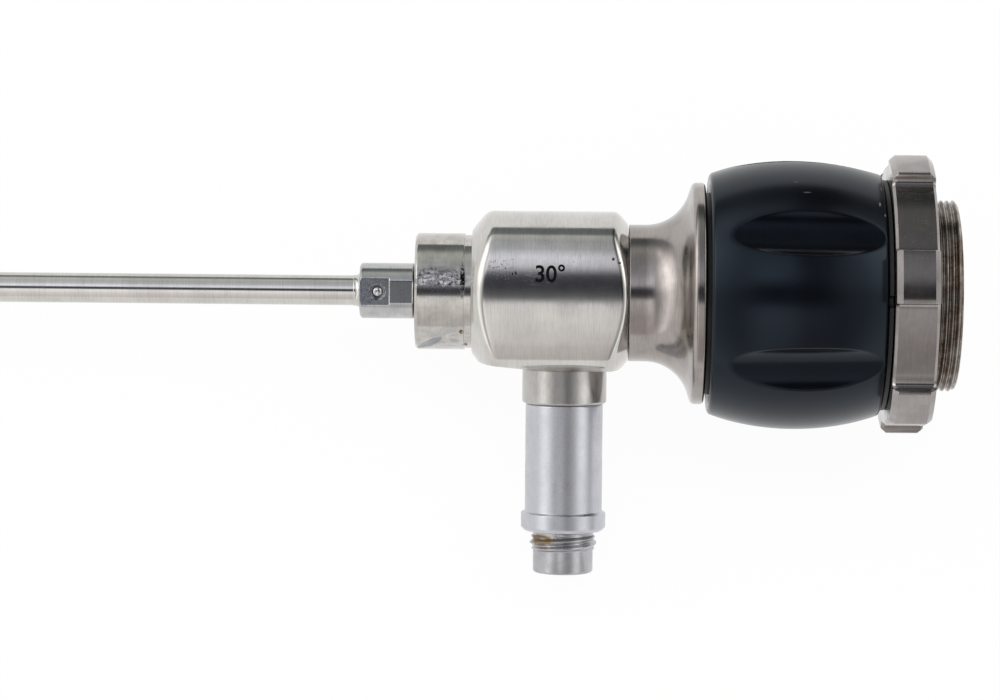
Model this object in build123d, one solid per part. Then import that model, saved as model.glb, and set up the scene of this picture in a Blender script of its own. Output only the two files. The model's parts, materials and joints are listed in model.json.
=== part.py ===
from build123d import *
import math
import os

# Rigid endoscope, 4 mm, 30 degree view, with a built-in focusing coupler for a camera.
# Millimetres. Every piece is drawn in the instrument's own axes: +X along the optical
# axis towards the camera end, -Z down the light post, X = 0 at the seam between the
# stainless housing and the coupler. The finished instrument is then laid down as it
# rests on a table, on its tube tip, its widest ring and the end of its light post.

# Fits: press or glued seats, running fits, and play along an axis
SEAT = 0.02
RUN = 0.05
PLAY = 0.10
SEAM = 0.15

# Insertion tube and the optics at its tip
TUBE_R = 2.0
TUBE_WALL = 0.3
TUBE_SHOULDER = 0.18
WORKING_LENGTH = 160.0
VIEW_ANGLE = 30.0
OPTIC_TUBE_R = 1.40
OPTIC_TUBE_WALL = 0.15
TIP_WINDOW_THICKNESS = 0.6
PRISM_LENGTH = 2.6
OBJECTIVE_LENGTH = 2.0

# Rod lens train
ROD_COUNT = 6
SPACER_LENGTH = 4.2
SPACER_WALL = 0.2

# Hub with milled flats at the root of the tube
HUB_R = 3.7
HUB_LENGTH = 7.3
HUB_CHAMFER = 0.25
HUB_FLAT_DEPTH = 0.5
HUB_STEP_LENGTH = 3.3
HUB_STEP_RISE = 0.15
HUB_SPIGOT_R = 3.0
HUB_SPIGOT_LENGTH = 2.0
HUB_PIN_R = 0.7
HUB_PIN_OFFSET = 2.4
HUB_SINK_R = 1.05
HUB_SINK_DEPTH = 0.4
FILLET_LENGTH = 0.9
FILLET_RISE = 0.4
FILLET_LIP = 0.06

# Collar that locks into an outer sheath
COLLAR_R = 7.75
COLLAR_LENGTH = 7.5
COLLAR_CHAMFER = 0.3
COLLAR_GROOVE_WIDTH = 1.0
COLLAR_GROOVE_DEPTH = 0.2
COLLAR_SPIGOT_R = 5.0
COLLAR_SPIGOT_LENGTH = 2.8
RAMP_COUNT = 2
RAMP_CUTTER_R = 1.2
RAMP_DEPTH = 0.3
RAMP_OFFSET = 1.8
RAMP_ANGLE = -62.0
RAMP_SLOPE = 40.0

# Housing, an oval bar with a flat belly for the light post
HOUSING_LENGTH = 20.6
HOUSING_R = 11.3
HOUSING_SET_DOWN = 0.5
HOUSING_HALF_WIDTH = 9.5
HOUSING_SIDE_R = 25.0
HOUSING_CORNER_R = 6.0
FRONT_CHAMFER_LENGTH = 1.95
FRONT_CHAMFER_DEPTH = 2.5
REAR_CHAMFER_LENGTH = 1.4
REAR_CHAMFER_DEPTH = 1.6
BELLY_DROP = 10.15
BELLY_FRONT_DROP = 9.2
BELLY_SLOPE_LENGTH = 9.4
CAVITY_R = 7.4
FRONT_WALL = 2.9

# Light post, hanging from the housing
POST_X = -8.25
POST_LENGTH = 37.5
POST_CORE_R = 4.48
POST_SPIGOT_LENGTH = 2.5
POST_TIP_R = 4.0
POST_TIP_LENGTH = 3.0
POST_TIP_EDGE_R = 0.4
POST_THREAD_LENGTH = 2.1
POST_NECK_LENGTH = 0.55
POST_COLLAR_R = 5.62
POST_COLLAR_LENGTH = 4.6
POST_SLEEVE_R = 5.15
POST_FLANGE_R = 5.65
POST_FLANGE_LENGTH = 1.9
POST_FLANGE_RAMP = 0.5
POST_EDGE = 0.2
FERRULE_R = 3.2
FERRULE_LENGTH = 7.0
BUNDLE_R = 2.3
BUNDLE_BEND_R = 7.0

# Eyepiece tube, whose journal carries the swivelling coupler
JOURNAL_R = 6.5
JOURNAL_LENGTH = 7.6
FLANGE_LENGTH = 4.0
FLANGE_WEB = 1.5
JOURNAL_BORE_R = 4.2
FIELD_STOP_R = 1.1
FIELD_STOP_THICKNESS = 0.3
EYE_LENS_R = 4.95
EYE_LENS_X = 1.0
EYE_LENS_THICKNESS = 2.5
EYE_LENS_CURVE_R = 14.0
EYE_RING_LENGTH = 1.6
EYE_RING_BORE_R = 3.8
WASHER_R = 7.3
WASHER_THICKNESS = 0.5
SWIVEL_SEAL_X = 3.4
SWIVEL_SEAL_R = 0.45
CLIP_GROOVE_DEPTH = 0.6
CLIP_R = 7.9
CLIP_THICKNESS = 0.6
CLIP_GAP = 3.0

# Coupler nose, from the neck to the flared lip
NECK_R = 9.1
NECK_LENGTH = 2.35
NECK_WEB_REAR_X = 5.9
FLARE_R = 6.0
FLARE_SWEEP = 72.0
LIP_HEIGHT = 1.35
LIP_REAR_X = 10.2
LIP_FRONT_EDGE_R = 0.7
LIP_REAR_EDGE_R = 0.45
NOSE_CHAMBER_R = 8.6

# Coupler barrel and the sleeve with the camera thread
BARREL_R = 13.4
BARREL_WALL = 2.4
BARREL_SPIGOT_STEP = 1.4
BARREL_SPIGOT_LENGTH = 1.6
SEAL_R = 0.55
FRONT_SEAL_OFFSET = 4.5
REAR_SEAL_OFFSET = 5.0
SLEEVE_SPIGOT_WALL = 1.18
SLEEVE_SPIGOT_LENGTH = 3.4
CAMERA_THREAD_R = 12.7
CAMERA_THREAD_LENGTH = 9.8
CAMERA_THREAD_CHAMFER = 0.35
CAMERA_RELIEF_LENGTH = 0.85
CAMERA_RELIEF_DEPTH = 0.5
CAMERA_RELIEF_COVER = 0.2
WINDOW_R = 10.6
WINDOW_THICKNESS = 2.0
WINDOW_DEPTH = 5.2
WINDOW_WEB_LENGTH = 1.2
WINDOW_WEB_R = 9.2
WINDOW_RING_LENGTH = 1.4
WINDOW_RING_WIDTH = 1.2
SPANNER_SLOT_WIDTH = 1.2
SPANNER_SLOT_DEPTH = 0.6
STOP_RING_WIDTH = 2.6
STOP_RING_LENGTH = 0.5
STOP_RING_NOTCHES = 4
STOP_RING_NOTCH_R = 0.8

# Focus ring with six scallops
RING_GAP = 0.5
RING_LENGTH = 22.8
RING_END_WALL = 2.5
RING_SWELL = 2.05
RING_EDGE_R = 0.45
SCALLOP_COUNT = 6
SCALLOP_START = 30.0
SCALLOP_CUTTER_R = 4.94
SCALLOP_DEPTH = 1.55
SCALLOP_TILT = 2.0

# Focus drive: turning the ring moves a pin, and with it the lens cell, along the axis
FOCUS_TURN = 60.0
FOCUS_TRAVEL = 1.25
PIN_R = 0.75
PIN_SEAT_DEPTH = 1.2
PIN_ANGLE = 120.0
CAM_DEPTH = 1.5
CAM_FLOOR_GAP = 0.2
CELL_LENGTH = 8.0
CELL_WALL = 1.78
CELL_LIP_LENGTH = 1.6
CELL_LIP_WIDTH = 0.75
CELL_RING_LENGTH = 1.4
CELL_RING_WIDTH = 1.0
CROWN_EDGE = 1.2
CROWN_CURVE_R = 30.0
CEMENT_CURVE_R = 22.0
FLINT_CENTRE = 1.4

# Lock nut with six grip lobes
NUT_GAP = 0.13
NUT_LENGTH = 5.65
NUT_R = 18.93
NUT_LOBES = 6
NUT_LOBE_ANGLE = 21.6
NUT_LOBE_START = 10.7
NUT_RECESS_DEPTH = 1.6
NUT_RECESS_CORNER_R = 0.9
NUT_LOBE_CHAMFER = 0.75
NUT_RECESS_CHAMFER = 0.35
NUT_BORE_CHAMFER = 0.4

# Places that follow from the sizes above
COLLAR_FRONT_X = -HOUSING_LENGTH - COLLAR_LENGTH
HUB_REAR_X = COLLAR_FRONT_X - SEAM
HUB_FRONT_X = HUB_REAR_X - HUB_LENGTH
TIP_X = HUB_FRONT_X - WORKING_LENGTH
FILLET_X = HUB_FRONT_X - FILLET_LENGTH
TUBE_REAR_X = -HOUSING_LENGTH + COLLAR_SPIGOT_LENGTH
TUBE_BORE_R = TUBE_R - TUBE_WALL
TUBE_ROOT_R = TUBE_R - TUBE_SHOULDER
OPTIC_BORE_R = OPTIC_TUBE_R - OPTIC_TUBE_WALL
TRAIN_R = OPTIC_BORE_R - SEAT
PRISM_REAR_X = TIP_X + 2 * TUBE_R + PRISM_LENGTH
OBJECTIVE_REAR_X = PRISM_REAR_X + OBJECTIVE_LENGTH
HUB_FLAT_Y = -(HUB_R - HUB_FLAT_DEPTH)
HOUSING_TOP = HOUSING_R - HOUSING_SET_DOWN
POST_THREAD_DEPTH = POST_LENGTH - POST_TIP_LENGTH - POST_THREAD_LENGTH
POST_SLEEVE_END = POST_THREAD_DEPTH - POST_NECK_LENGTH
FLANGE_FRONT_X = -FLANGE_LENGTH
WEB_REAR_X = FLANGE_FRONT_X + FLANGE_WEB
CLIP_X = NECK_WEB_REAR_X + 2 * PLAY
EYE_LENS_SAG = EYE_LENS_CURVE_R - math.sqrt(EYE_LENS_CURVE_R**2 - EYE_RING_BORE_R**2)
EYE_RING_X = EYE_LENS_X + EYE_LENS_THICKNESS - EYE_LENS_SAG
RING_FRONT_X = LIP_REAR_X + RING_GAP
RING_REAR_X = RING_FRONT_X + RING_LENGTH
RING_MID_X = RING_FRONT_X + RING_LENGTH / 2
RING_BORE_R = BARREL_R + RUN
RING_END_R = RING_BORE_R + RING_END_WALL
RING_R = RING_END_R + RING_SWELL
LIP_R = BARREL_R + LIP_HEIGHT
STOP_RING_R = CAMERA_THREAD_R + STOP_RING_WIDTH
BARREL_BORE_R = BARREL_R - BARREL_WALL
BARREL_SPIGOT_R = BARREL_R - BARREL_SPIGOT_STEP
SLEEVE_SPIGOT_R = BARREL_BORE_R + SLEEVE_SPIGOT_WALL
CAM_R = RING_BORE_R + CAM_DEPTH
CAM_LEAD = FOCUS_TRAVEL * 360 / FOCUS_TURN
PIN_SLOT_R = PIN_R + PLAY
BARREL_FRONT_X = LIP_REAR_X - BARREL_SPIGOT_LENGTH
BARREL_REAR_X = RING_REAR_X + PLAY
SEAL_CENTRE_R = RING_BORE_R - SEAT - SEAL_R
SLEEVE_FRONT_X = BARREL_REAR_X - SLEEVE_SPIGOT_LENGTH
SLEEVE_REAR_X = BARREL_REAR_X + CAMERA_THREAD_LENGTH
WINDOW_X = SLEEVE_REAR_X - WINDOW_DEPTH
NUT_FRONT_X = BARREL_REAR_X + STOP_RING_LENGTH + NUT_GAP
NUT_REAR_X = NUT_FRONT_X + NUT_LENGTH
CAMERA_RELIEF_X = NUT_REAR_X - CAMERA_RELIEF_COVER
CELL_R = BARREL_BORE_R - RUN
CELL_BORE_R = CELL_R - CELL_WALL
LENS_R = CELL_BORE_R - SEAT
CELL_LIP_R = LENS_R - CELL_LIP_WIDTH
CELL_FRONT_X = RING_MID_X - CELL_LENGTH / 2
CROWN_X = CELL_FRONT_X + CELL_LIP_LENGTH

BASE_CENTRED = (Align.CENTER, Align.CENTER, Align.MIN)


def turned(*points):
    """A solid of revolution about the optical axis, from (x, radius) points."""
    outline = Polyline(*[(x, 0, r) for x, r in points], close=True)
    return revolve(make_face(outline), Axis.X, 360)


def turned_edges(*edges):
    """A solid of revolution about the optical axis, from edges drawn in the XZ plane."""
    return revolve(make_face(Wire(edges)), Axis.X, 360)


def rod(x0, x1, r):
    """A plain cylinder on the optical axis."""
    return Pos(x0, 0, 0) * Rot(0, 90, 0) * Cylinder(r, x1 - x0, align=BASE_CENTRED)


def tube(x0, x1, r_out, r_in):
    """A plain tube on the optical axis."""
    return rod(x0, x1, r_out) - rod(x0, x1, r_in)


def post_turned(*points):
    """A solid of revolution about the light post's axis, from (depth, radius) points."""
    outline = Polyline(*[(POST_X + r, 0, -depth) for depth, r in points], close=True)
    return revolve(make_face(outline), Axis((POST_X, 0, 0), (0, 0, 1)), 360)


def at_angle(angle):
    """Turns what is drawn on +Z to an angle measured from the -Y side towards +Z."""
    return Rot(90 - angle, 0, 0)


def spread(shape, count, start):
    """Equally spaced copies, about the optical axis, of a shape drawn on +Z."""
    return [at_angle(start + 360 / count * k) * shape for k in range(count)]


def torus_ring(x, r_centre, r_section):
    return Pos(x, 0, 0) * Rot(0, 90, 0) * Torus(r_centre, r_section)


def circles_at(shape, x, r):
    """The edges of a turned solid that are circles of one radius at one place."""
    circles = shape.edges().filter_by(GeomType.CIRCLE)
    return circles.filter_by(lambda e: math.hypot(e.arc_center.X - x, e.radius - r) < SEAT / 4)


def sag(curve_r, rim_r):
    """How far a spherical face of one radius dips at a rim."""
    return curve_r - math.sqrt(curve_r**2 - rim_r**2)


def dome(vertex_x, curve_r, rim_r, side):
    """The profile of a spherical face, from its vertex to a rim on the +X or -X side."""
    middle_r = rim_r / 2
    middle = (vertex_x + side * sag(curve_r, middle_r), 0, middle_r)
    rim = (vertex_x + side * sag(curve_r, rim_r), 0, rim_r)
    return ThreePointArc((vertex_x, 0, 0), middle, rim)


def tip_cutter(depth=0.0):
    """What lies in front of the oblique tip face, or of a plane behind it."""
    size = 8 * TUBE_R
    block = Box(size, size, size, align=(Align.MAX, Align.CENTER, Align.CENTER))
    face_x = TIP_X + TUBE_R * math.tan(math.radians(VIEW_ANGLE))
    return Pos(face_x, 0, 0) * Rot(0, VIEW_ANGLE, 0) * Pos(depth, 0, 0) * block


# Insertion tube and optics

def make_sheath_tube():
    """The outer tube, with a small shoulder that seats on the hub's fillet."""
    outside = rod(TIP_X, FILLET_X, TUBE_R) + rod(FILLET_X, TUBE_REAR_X, TUBE_ROOT_R)
    return outside - rod(TIP_X, TUBE_REAR_X, TUBE_BORE_R) - tip_cutter()


def make_optic_tube():
    return tube(TIP_X, WEB_REAR_X, OPTIC_TUBE_R, OPTIC_BORE_R) - tip_cutter()


def make_tip_window():
    plug = rod(TIP_X, PRISM_REAR_X, TRAIN_R) - tip_cutter()
    return plug & tip_cutter(TIP_WINDOW_THICKNESS)


def make_tip_prism():
    return rod(TIP_X, PRISM_REAR_X, TRAIN_R) - tip_cutter(TIP_WINDOW_THICKNESS + SEAT)


def make_objective_lens():
    return rod(PRISM_REAR_X, OBJECTIVE_REAR_X, TRAIN_R)


def rod_pitch():
    """The length of one rod lens with its spacer."""
    return (WEB_REAR_X - OBJECTIVE_REAR_X) / ROD_COUNT


def make_rod_lenses():
    pitch = rod_pitch()
    starts = [OBJECTIVE_REAR_X + pitch * k + SPACER_LENGTH for k in range(ROD_COUNT)]
    return Compound([rod(x, x + pitch - SPACER_LENGTH, TRAIN_R).solid() for x in starts])


def make_rod_spacers():
    starts = [OBJECTIVE_REAR_X + rod_pitch() * k for k in range(ROD_COUNT)]
    bore = TRAIN_R - SPACER_WALL
    return Compound([tube(x, x + SPACER_LENGTH, TRAIN_R, bore).solid() for x in starts])


def make_fibre_bundle():
    """Fibres fill the gap between the two tubes, then gather and bend down the light post."""
    bend_x = POST_X - BUNDLE_BEND_R
    halfway = BUNDLE_BEND_R * math.sqrt(0.5)
    route = Wire([
        Line((TUBE_REAR_X, 0, 0), (bend_x, 0, 0)),
        ThreePointArc(
            (bend_x, 0, 0),
            (bend_x + halfway, 0, halfway - BUNDLE_BEND_R),
            (POST_X, 0, -BUNDLE_BEND_R),
        ),
        Line((POST_X, 0, -BUNDLE_BEND_R), (POST_X, 0, -POST_LENGTH)),
    ])
    section = Plane(origin=(TUBE_REAR_X, 0, 0), z_dir=(1, 0, 0)) * Circle(BUNDLE_R)
    in_tube = rod(TIP_X, TUBE_REAR_X, TUBE_BORE_R - SEAT) - tip_cutter()
    return in_tube + sweep(section, path=route) - rod(TIP_X, 0, OPTIC_TUBE_R + SEAT)


# Hub, collar and housing

def make_tube_fillet():
    return turned(
        (FILLET_X, TUBE_ROOT_R + SEAT),
        (FILLET_X, TUBE_R + FILLET_LIP),
        (HUB_FRONT_X - FILLET_LENGTH / 3, TUBE_R + FILLET_RISE / 3),
        (HUB_FRONT_X, TUBE_R + FILLET_RISE),
        (HUB_FRONT_X, TUBE_ROOT_R + SEAT),
    )


def hub_flats():
    """The two wrench flats, each with a step where it runs out towards the collar."""
    outside = (Align.MAX, Align.MAX, Align.CENTER)
    step_x = HUB_REAR_X - HUB_STEP_LENGTH
    front = Box(HUB_LENGTH, HUB_R, 2 * HUB_R, align=outside)
    rear = Box(HUB_STEP_LENGTH, HUB_R, 2 * HUB_R, align=outside)
    viewed = [
        Pos(step_x, HUB_FLAT_Y, 0) * front,
        Pos(HUB_REAR_X - HUB_CHAMFER, HUB_FLAT_Y - HUB_STEP_RISE, 0) * rear,
    ]
    return viewed + [mirror(flat, Plane.XZ) for flat in viewed]


def pin_bore(reach_y, r):
    """A cylinder at the hub pin's place, from the tube's wall out to a height on the viewed side."""
    foot_y = -TUBE_ROOT_R - SEAT
    upright = Cylinder(r, foot_y - reach_y, align=BASE_CENTRED)
    return Pos(HUB_FRONT_X + HUB_PIN_OFFSET, foot_y, 0) * Rot(90, 0, 0) * upright


def make_sheath_hub():
    body = rod(HUB_FRONT_X, HUB_REAR_X, HUB_R)
    body = chamfer(body.edges().filter_by(GeomType.CIRCLE), HUB_CHAMFER)
    spigot_end = COLLAR_FRONT_X + HUB_SPIGOT_LENGTH
    body = body + rod(HUB_REAR_X, spigot_end, HUB_SPIGOT_R)
    sink = Rot(90, 0, 0) * Cylinder(HUB_SINK_R, 2 * HUB_SINK_DEPTH)
    sink = Pos(HUB_FRONT_X + HUB_PIN_OFFSET, HUB_FLAT_Y, 0) * sink
    bore = rod(HUB_FRONT_X, spigot_end, TUBE_ROOT_R + SEAT)
    return body - hub_flats() - [sink, pin_bore(HUB_FLAT_Y, HUB_PIN_R + SEAT), bore]


def make_hub_pin():
    """A round pin, set below the milled flat, that locks the tube in the hub."""
    return pin_bore(HUB_FLAT_Y + HUB_SINK_DEPTH / 2, HUB_PIN_R)


def make_lock_collar():
    rear = -HOUSING_LENGTH
    groove_x = rear - COLLAR_GROOVE_WIDTH
    groove_r = COLLAR_R - COLLAR_GROOVE_DEPTH
    socket_x = COLLAR_FRONT_X + HUB_SPIGOT_LENGTH
    body = turned(
        (COLLAR_FRONT_X, HUB_SPIGOT_R + SEAT),
        (COLLAR_FRONT_X, COLLAR_R - COLLAR_CHAMFER),
        (COLLAR_FRONT_X + COLLAR_CHAMFER, COLLAR_R),
        (groove_x, COLLAR_R),
        (groove_x, groove_r),
        (rear, groove_r),
        (rear, COLLAR_SPIGOT_R),
        (rear + COLLAR_SPIGOT_LENGTH, COLLAR_SPIGOT_R),
        (rear + COLLAR_SPIGOT_LENGTH, TUBE_ROOT_R + SEAT),
        (socket_x, TUBE_ROOT_R + SEAT),
        (socket_x, HUB_SPIGOT_R + SEAT),
    )
    ramp_z = COLLAR_R - RAMP_DEPTH + RAMP_CUTTER_R
    cutter = Rot(0, 0, -RAMP_SLOPE) * Rot(90, 0, 0) * Cylinder(RAMP_CUTTER_R, 2 * COLLAR_R)
    ramp = Pos(COLLAR_FRONT_X + RAMP_OFFSET, 0, ramp_z) * cutter
    return body - spread(ramp, RAMP_COUNT, RAMP_ANGLE)


def housing_outline():
    """A round bar set a little below the axis, flattened by two shallow side arcs."""
    offset = HOUSING_SIDE_R - HOUSING_HALF_WIDTH
    side = Circle(HOUSING_SIDE_R)
    bar = Pos(0, -HOUSING_SET_DOWN) * Circle(HOUSING_R)
    outline = bar & (Pos(-offset, 0) * side) & (Pos(offset, 0) * side)
    return fillet(outline.vertices(), HOUSING_CORNER_R)


def make_scope_housing():
    front = -HOUSING_LENGTH
    end = Plane(origin=(front, 0, 0), x_dir=(0, 1, 0), z_dir=(1, 0, 0))
    bar = extrude(end * housing_outline(), HOUSING_LENGTH)
    # The cones run on past the top's height, because the bar reaches further down than up
    lowest_r = HOUSING_R + HOUSING_SET_DOWN
    front_run = FRONT_CHAMFER_LENGTH * (1 + (lowest_r - HOUSING_TOP) / FRONT_CHAMFER_DEPTH)
    rear_run = REAR_CHAMFER_LENGTH * (1 + (lowest_r - HOUSING_TOP) / REAR_CHAMFER_DEPTH)
    coned = turned(
        (front, 0),
        (front, HOUSING_TOP - FRONT_CHAMFER_DEPTH),
        (front + front_run, lowest_r),
        (-rear_run, lowest_r),
        (0, HOUSING_TOP - REAR_CHAMFER_DEPTH),
        (0, 0),
    )
    side_view = Polyline(
        (front, 0, HOUSING_R),
        (0, 0, HOUSING_R),
        (0, 0, -BELLY_DROP),
        (front + BELLY_SLOPE_LENGTH, 0, -BELLY_DROP),
        (front, 0, -BELLY_FRONT_DROP),
        close=True,
    )
    belly = extrude(make_face(side_view), HOUSING_R, both=True)
    cavity = rod(front + FRONT_WALL, 0, CAVITY_R)
    front_bore = rod(front, front + FRONT_WALL, COLLAR_SPIGOT_R + SEAT)
    hanging = (Align.CENTER, Align.CENTER, Align.MAX)
    post_bore = Pos(POST_X, 0, 0) * Cylinder(POST_CORE_R + SEAT, HOUSING_R, align=hanging)
    return (bar & coned & belly) - [cavity, front_bore, post_bore]


# Light post

def make_post_collar():
    end = BELLY_DROP + POST_COLLAR_LENGTH
    return post_turned(
        (BELLY_DROP, POST_CORE_R + SEAT),
        (BELLY_DROP, POST_COLLAR_R),
        (end - POST_EDGE, POST_COLLAR_R),
        (end, POST_COLLAR_R - POST_EDGE),
        (end, POST_CORE_R + SEAT),
    )


def make_post_sleeve():
    start = BELLY_DROP + POST_COLLAR_LENGTH
    flange_end = POST_SLEEVE_END - POST_FLANGE_RAMP
    flange_start = flange_end - POST_FLANGE_LENGTH
    return post_turned(
        (start, POST_CORE_R + SEAT),
        (start, POST_SLEEVE_R - POST_EDGE),
        (start + POST_EDGE, POST_SLEEVE_R),
        (flange_start - POST_EDGE, POST_SLEEVE_R),
        (flange_start, POST_FLANGE_R),
        (flange_end, POST_FLANGE_R),
        (POST_SLEEVE_END, POST_FLANGE_R - POST_FLANGE_RAMP),
        (POST_SLEEVE_END, POST_CORE_R + SEAT),
    )


def make_post_core():
    """The tube that holds the fibres; its thread crests are drawn as a plain band."""
    top = BELLY_DROP - POST_SPIGOT_LENGTH
    thread_end = POST_THREAD_DEPTH + POST_THREAD_LENGTH
    ledge = POST_LENGTH - FERRULE_LENGTH
    core = post_turned(
        (top, BUNDLE_R + SEAT),
        (top, POST_CORE_R),
        (POST_SLEEVE_END, POST_CORE_R),
        (POST_SLEEVE_END, POST_TIP_R),
        (POST_THREAD_DEPTH, POST_TIP_R),
        (POST_THREAD_DEPTH, POST_CORE_R),
        (thread_end - POST_EDGE, POST_CORE_R),
        (thread_end, POST_TIP_R),
        (POST_LENGTH, POST_TIP_R),
        (POST_LENGTH, FERRULE_R + SEAT),
        (ledge, FERRULE_R + SEAT),
        (ledge, BUNDLE_R + SEAT),
    )
    end_circles = core.edges().filter_by(GeomType.CIRCLE).group_by(Axis.Z)[0]
    return fillet(end_circles.sort_by(SortBy.LENGTH)[-1], POST_TIP_EDGE_R)


def make_post_ferrule():
    ledge = POST_LENGTH - FERRULE_LENGTH
    return post_turned(
        (ledge, BUNDLE_R + SEAT),
        (ledge, FERRULE_R),
        (POST_LENGTH, FERRULE_R),
        (POST_LENGTH, BUNDLE_R + SEAT),
    )


# Eyepiece tube and swivel

def make_ocular_tube():
    """A flange that closes the housing, and the journal that the coupler swivels on."""
    seal_front = SWIVEL_SEAL_X - SWIVEL_SEAL_R - RUN
    seal_rear = SWIVEL_SEAL_X + SWIVEL_SEAL_R + RUN
    seal_floor = JOURNAL_R - 2 * SWIVEL_SEAL_R
    clip_rear = CLIP_X + CLIP_THICKNESS + SEAT
    clip_floor = JOURNAL_R - CLIP_GROOVE_DEPTH
    return turned(
        (FLANGE_FRONT_X, OPTIC_TUBE_R + SEAT),
        (FLANGE_FRONT_X, CAVITY_R - SEAT),
        (0, CAVITY_R - SEAT),
        (0, JOURNAL_R),
        (seal_front, JOURNAL_R),
        (seal_front, seal_floor),
        (seal_rear, seal_floor),
        (seal_rear, JOURNAL_R),
        (CLIP_X - SEAT, JOURNAL_R),
        (CLIP_X - SEAT, clip_floor),
        (clip_rear, clip_floor),
        (clip_rear, JOURNAL_R),
        (JOURNAL_LENGTH, JOURNAL_R),
        (JOURNAL_LENGTH, EYE_LENS_R + SEAT),
        (EYE_LENS_X, EYE_LENS_R + SEAT),
        (EYE_LENS_X, JOURNAL_BORE_R),
        (WEB_REAR_X, JOURNAL_BORE_R),
        (WEB_REAR_X, OPTIC_TUBE_R + SEAT),
    )


def make_field_stop():
    return tube(WEB_REAR_X, WEB_REAR_X + FIELD_STOP_THICKNESS, JOURNAL_BORE_R - SEAT, FIELD_STOP_R)


def make_ocular_lens():
    vertex_x = EYE_RING_X + EYE_LENS_SAG
    return turned_edges(
        Line((vertex_x, 0, 0), (EYE_LENS_X, 0, 0)),
        Line((EYE_LENS_X, 0, 0), (EYE_LENS_X, 0, EYE_LENS_R)),
        Line((EYE_LENS_X, 0, EYE_LENS_R), (EYE_RING_X, 0, EYE_LENS_R)),
        Line((EYE_RING_X, 0, EYE_LENS_R), (EYE_RING_X, 0, EYE_RING_BORE_R)),
        dome(vertex_x, EYE_LENS_CURVE_R, EYE_RING_BORE_R, -1),
    )


def make_ocular_lens_ring():
    return tube(EYE_RING_X, EYE_RING_X + EYE_RING_LENGTH, EYE_LENS_R, EYE_RING_BORE_R)


def make_swivel_washer():
    return tube(0, WASHER_THICKNESS, WASHER_R, JOURNAL_R + SEAT)


def make_swivel_o_ring():
    return torus_ring(SWIVEL_SEAL_X, JOURNAL_R - SWIVEL_SEAL_R + SEAT, SWIVEL_SEAL_R)


def make_swivel_clip():
    """An open spring ring in its groove, which keeps the coupler on the journal."""
    r_in = JOURNAL_R - CLIP_GROOVE_DEPTH + SEAT
    ring = tube(CLIP_X, CLIP_X + CLIP_THICKNESS, CLIP_R, r_in)
    return ring - Pos(CLIP_X, 0, 0) * Box(JOURNAL_LENGTH, CLIP_GAP, 2 * CLIP_R, align=BASE_CENTRED)


# Coupler

def flare_point(angle):
    """The point of the flare where it has turned by an angle."""
    rise = FLARE_R * (1 - math.cos(angle))
    return Vector(NECK_LENGTH + FLARE_R * math.sin(angle), 0, NECK_R + rise)


def make_neck_funnel():
    """The neck swells in a concave flare to a rounded lip."""
    turn = math.radians(FLARE_SWEEP)
    flare_end = flare_point(turn)
    lip_front_x = flare_end.X + (LIP_R - flare_end.Z) / math.tan(turn)
    recess_x = WASHER_THICKNESS + RUN
    flare = ThreePointArc(flare_point(0), flare_point(turn / 2), flare_end)
    rest = Polyline(
        flare_end,
        (lip_front_x, 0, LIP_R),
        (LIP_REAR_X, 0, LIP_R),
        (LIP_REAR_X, 0, BARREL_SPIGOT_R + SEAT),
        (BARREL_FRONT_X, 0, BARREL_SPIGOT_R + SEAT),
        (BARREL_FRONT_X, 0, NOSE_CHAMBER_R),
        (NECK_WEB_REAR_X, 0, NOSE_CHAMBER_R),
        (NECK_WEB_REAR_X, 0, JOURNAL_R + RUN),
        (recess_x, 0, JOURNAL_R + RUN),
        (recess_x, 0, WASHER_R + PLAY),
        (SEAM, 0, WASHER_R + PLAY),
        (SEAM, 0, NECK_R),
        flare_point(0),
    )
    body = turned_edges(flare, *rest.edges())
    body = fillet(circles_at(body, lip_front_x, LIP_R), LIP_FRONT_EDGE_R)
    return fillet(circles_at(body, LIP_REAR_X, LIP_R), LIP_REAR_EDGE_R)


def pin_slot():
    """The slot in the barrel that lets the drive pin move along the axis only."""
    outline = SlotOverall(2 * (FOCUS_TRAVEL + PIN_SLOT_R), 2 * PIN_SLOT_R)
    return at_angle(PIN_ANGLE) * Pos(RING_MID_X, 0, 0) * extrude(outline, 2 * BARREL_R)


def make_coupler_barrel():
    body = turned(
        (BARREL_FRONT_X, BARREL_BORE_R),
        (BARREL_FRONT_X, BARREL_SPIGOT_R),
        (LIP_REAR_X, BARREL_SPIGOT_R),
        (LIP_REAR_X, BARREL_R),
        (BARREL_REAR_X, BARREL_R),
        (BARREL_REAR_X, SLEEVE_SPIGOT_R + SEAT),
        (SLEEVE_FRONT_X, SLEEVE_SPIGOT_R + SEAT),
        (SLEEVE_FRONT_X, BARREL_BORE_R),
    )
    half_width = SEAL_R + RUN
    floor_r = SEAL_CENTRE_R - SEAL_R - SEAT
    grooves = [
        tube(x - half_width, x + half_width, BARREL_R + SEAT, floor_r)
        for x in (RING_FRONT_X + FRONT_SEAL_OFFSET, RING_REAR_X - REAR_SEAL_OFFSET)
    ]
    return body - grooves - pin_slot()


def make_ring_seal(x):
    """A seal in its barrel groove, drawn just short of the focus ring that presses on it."""
    return torus_ring(x, SEAL_CENTRE_R, SEAL_R)


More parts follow.
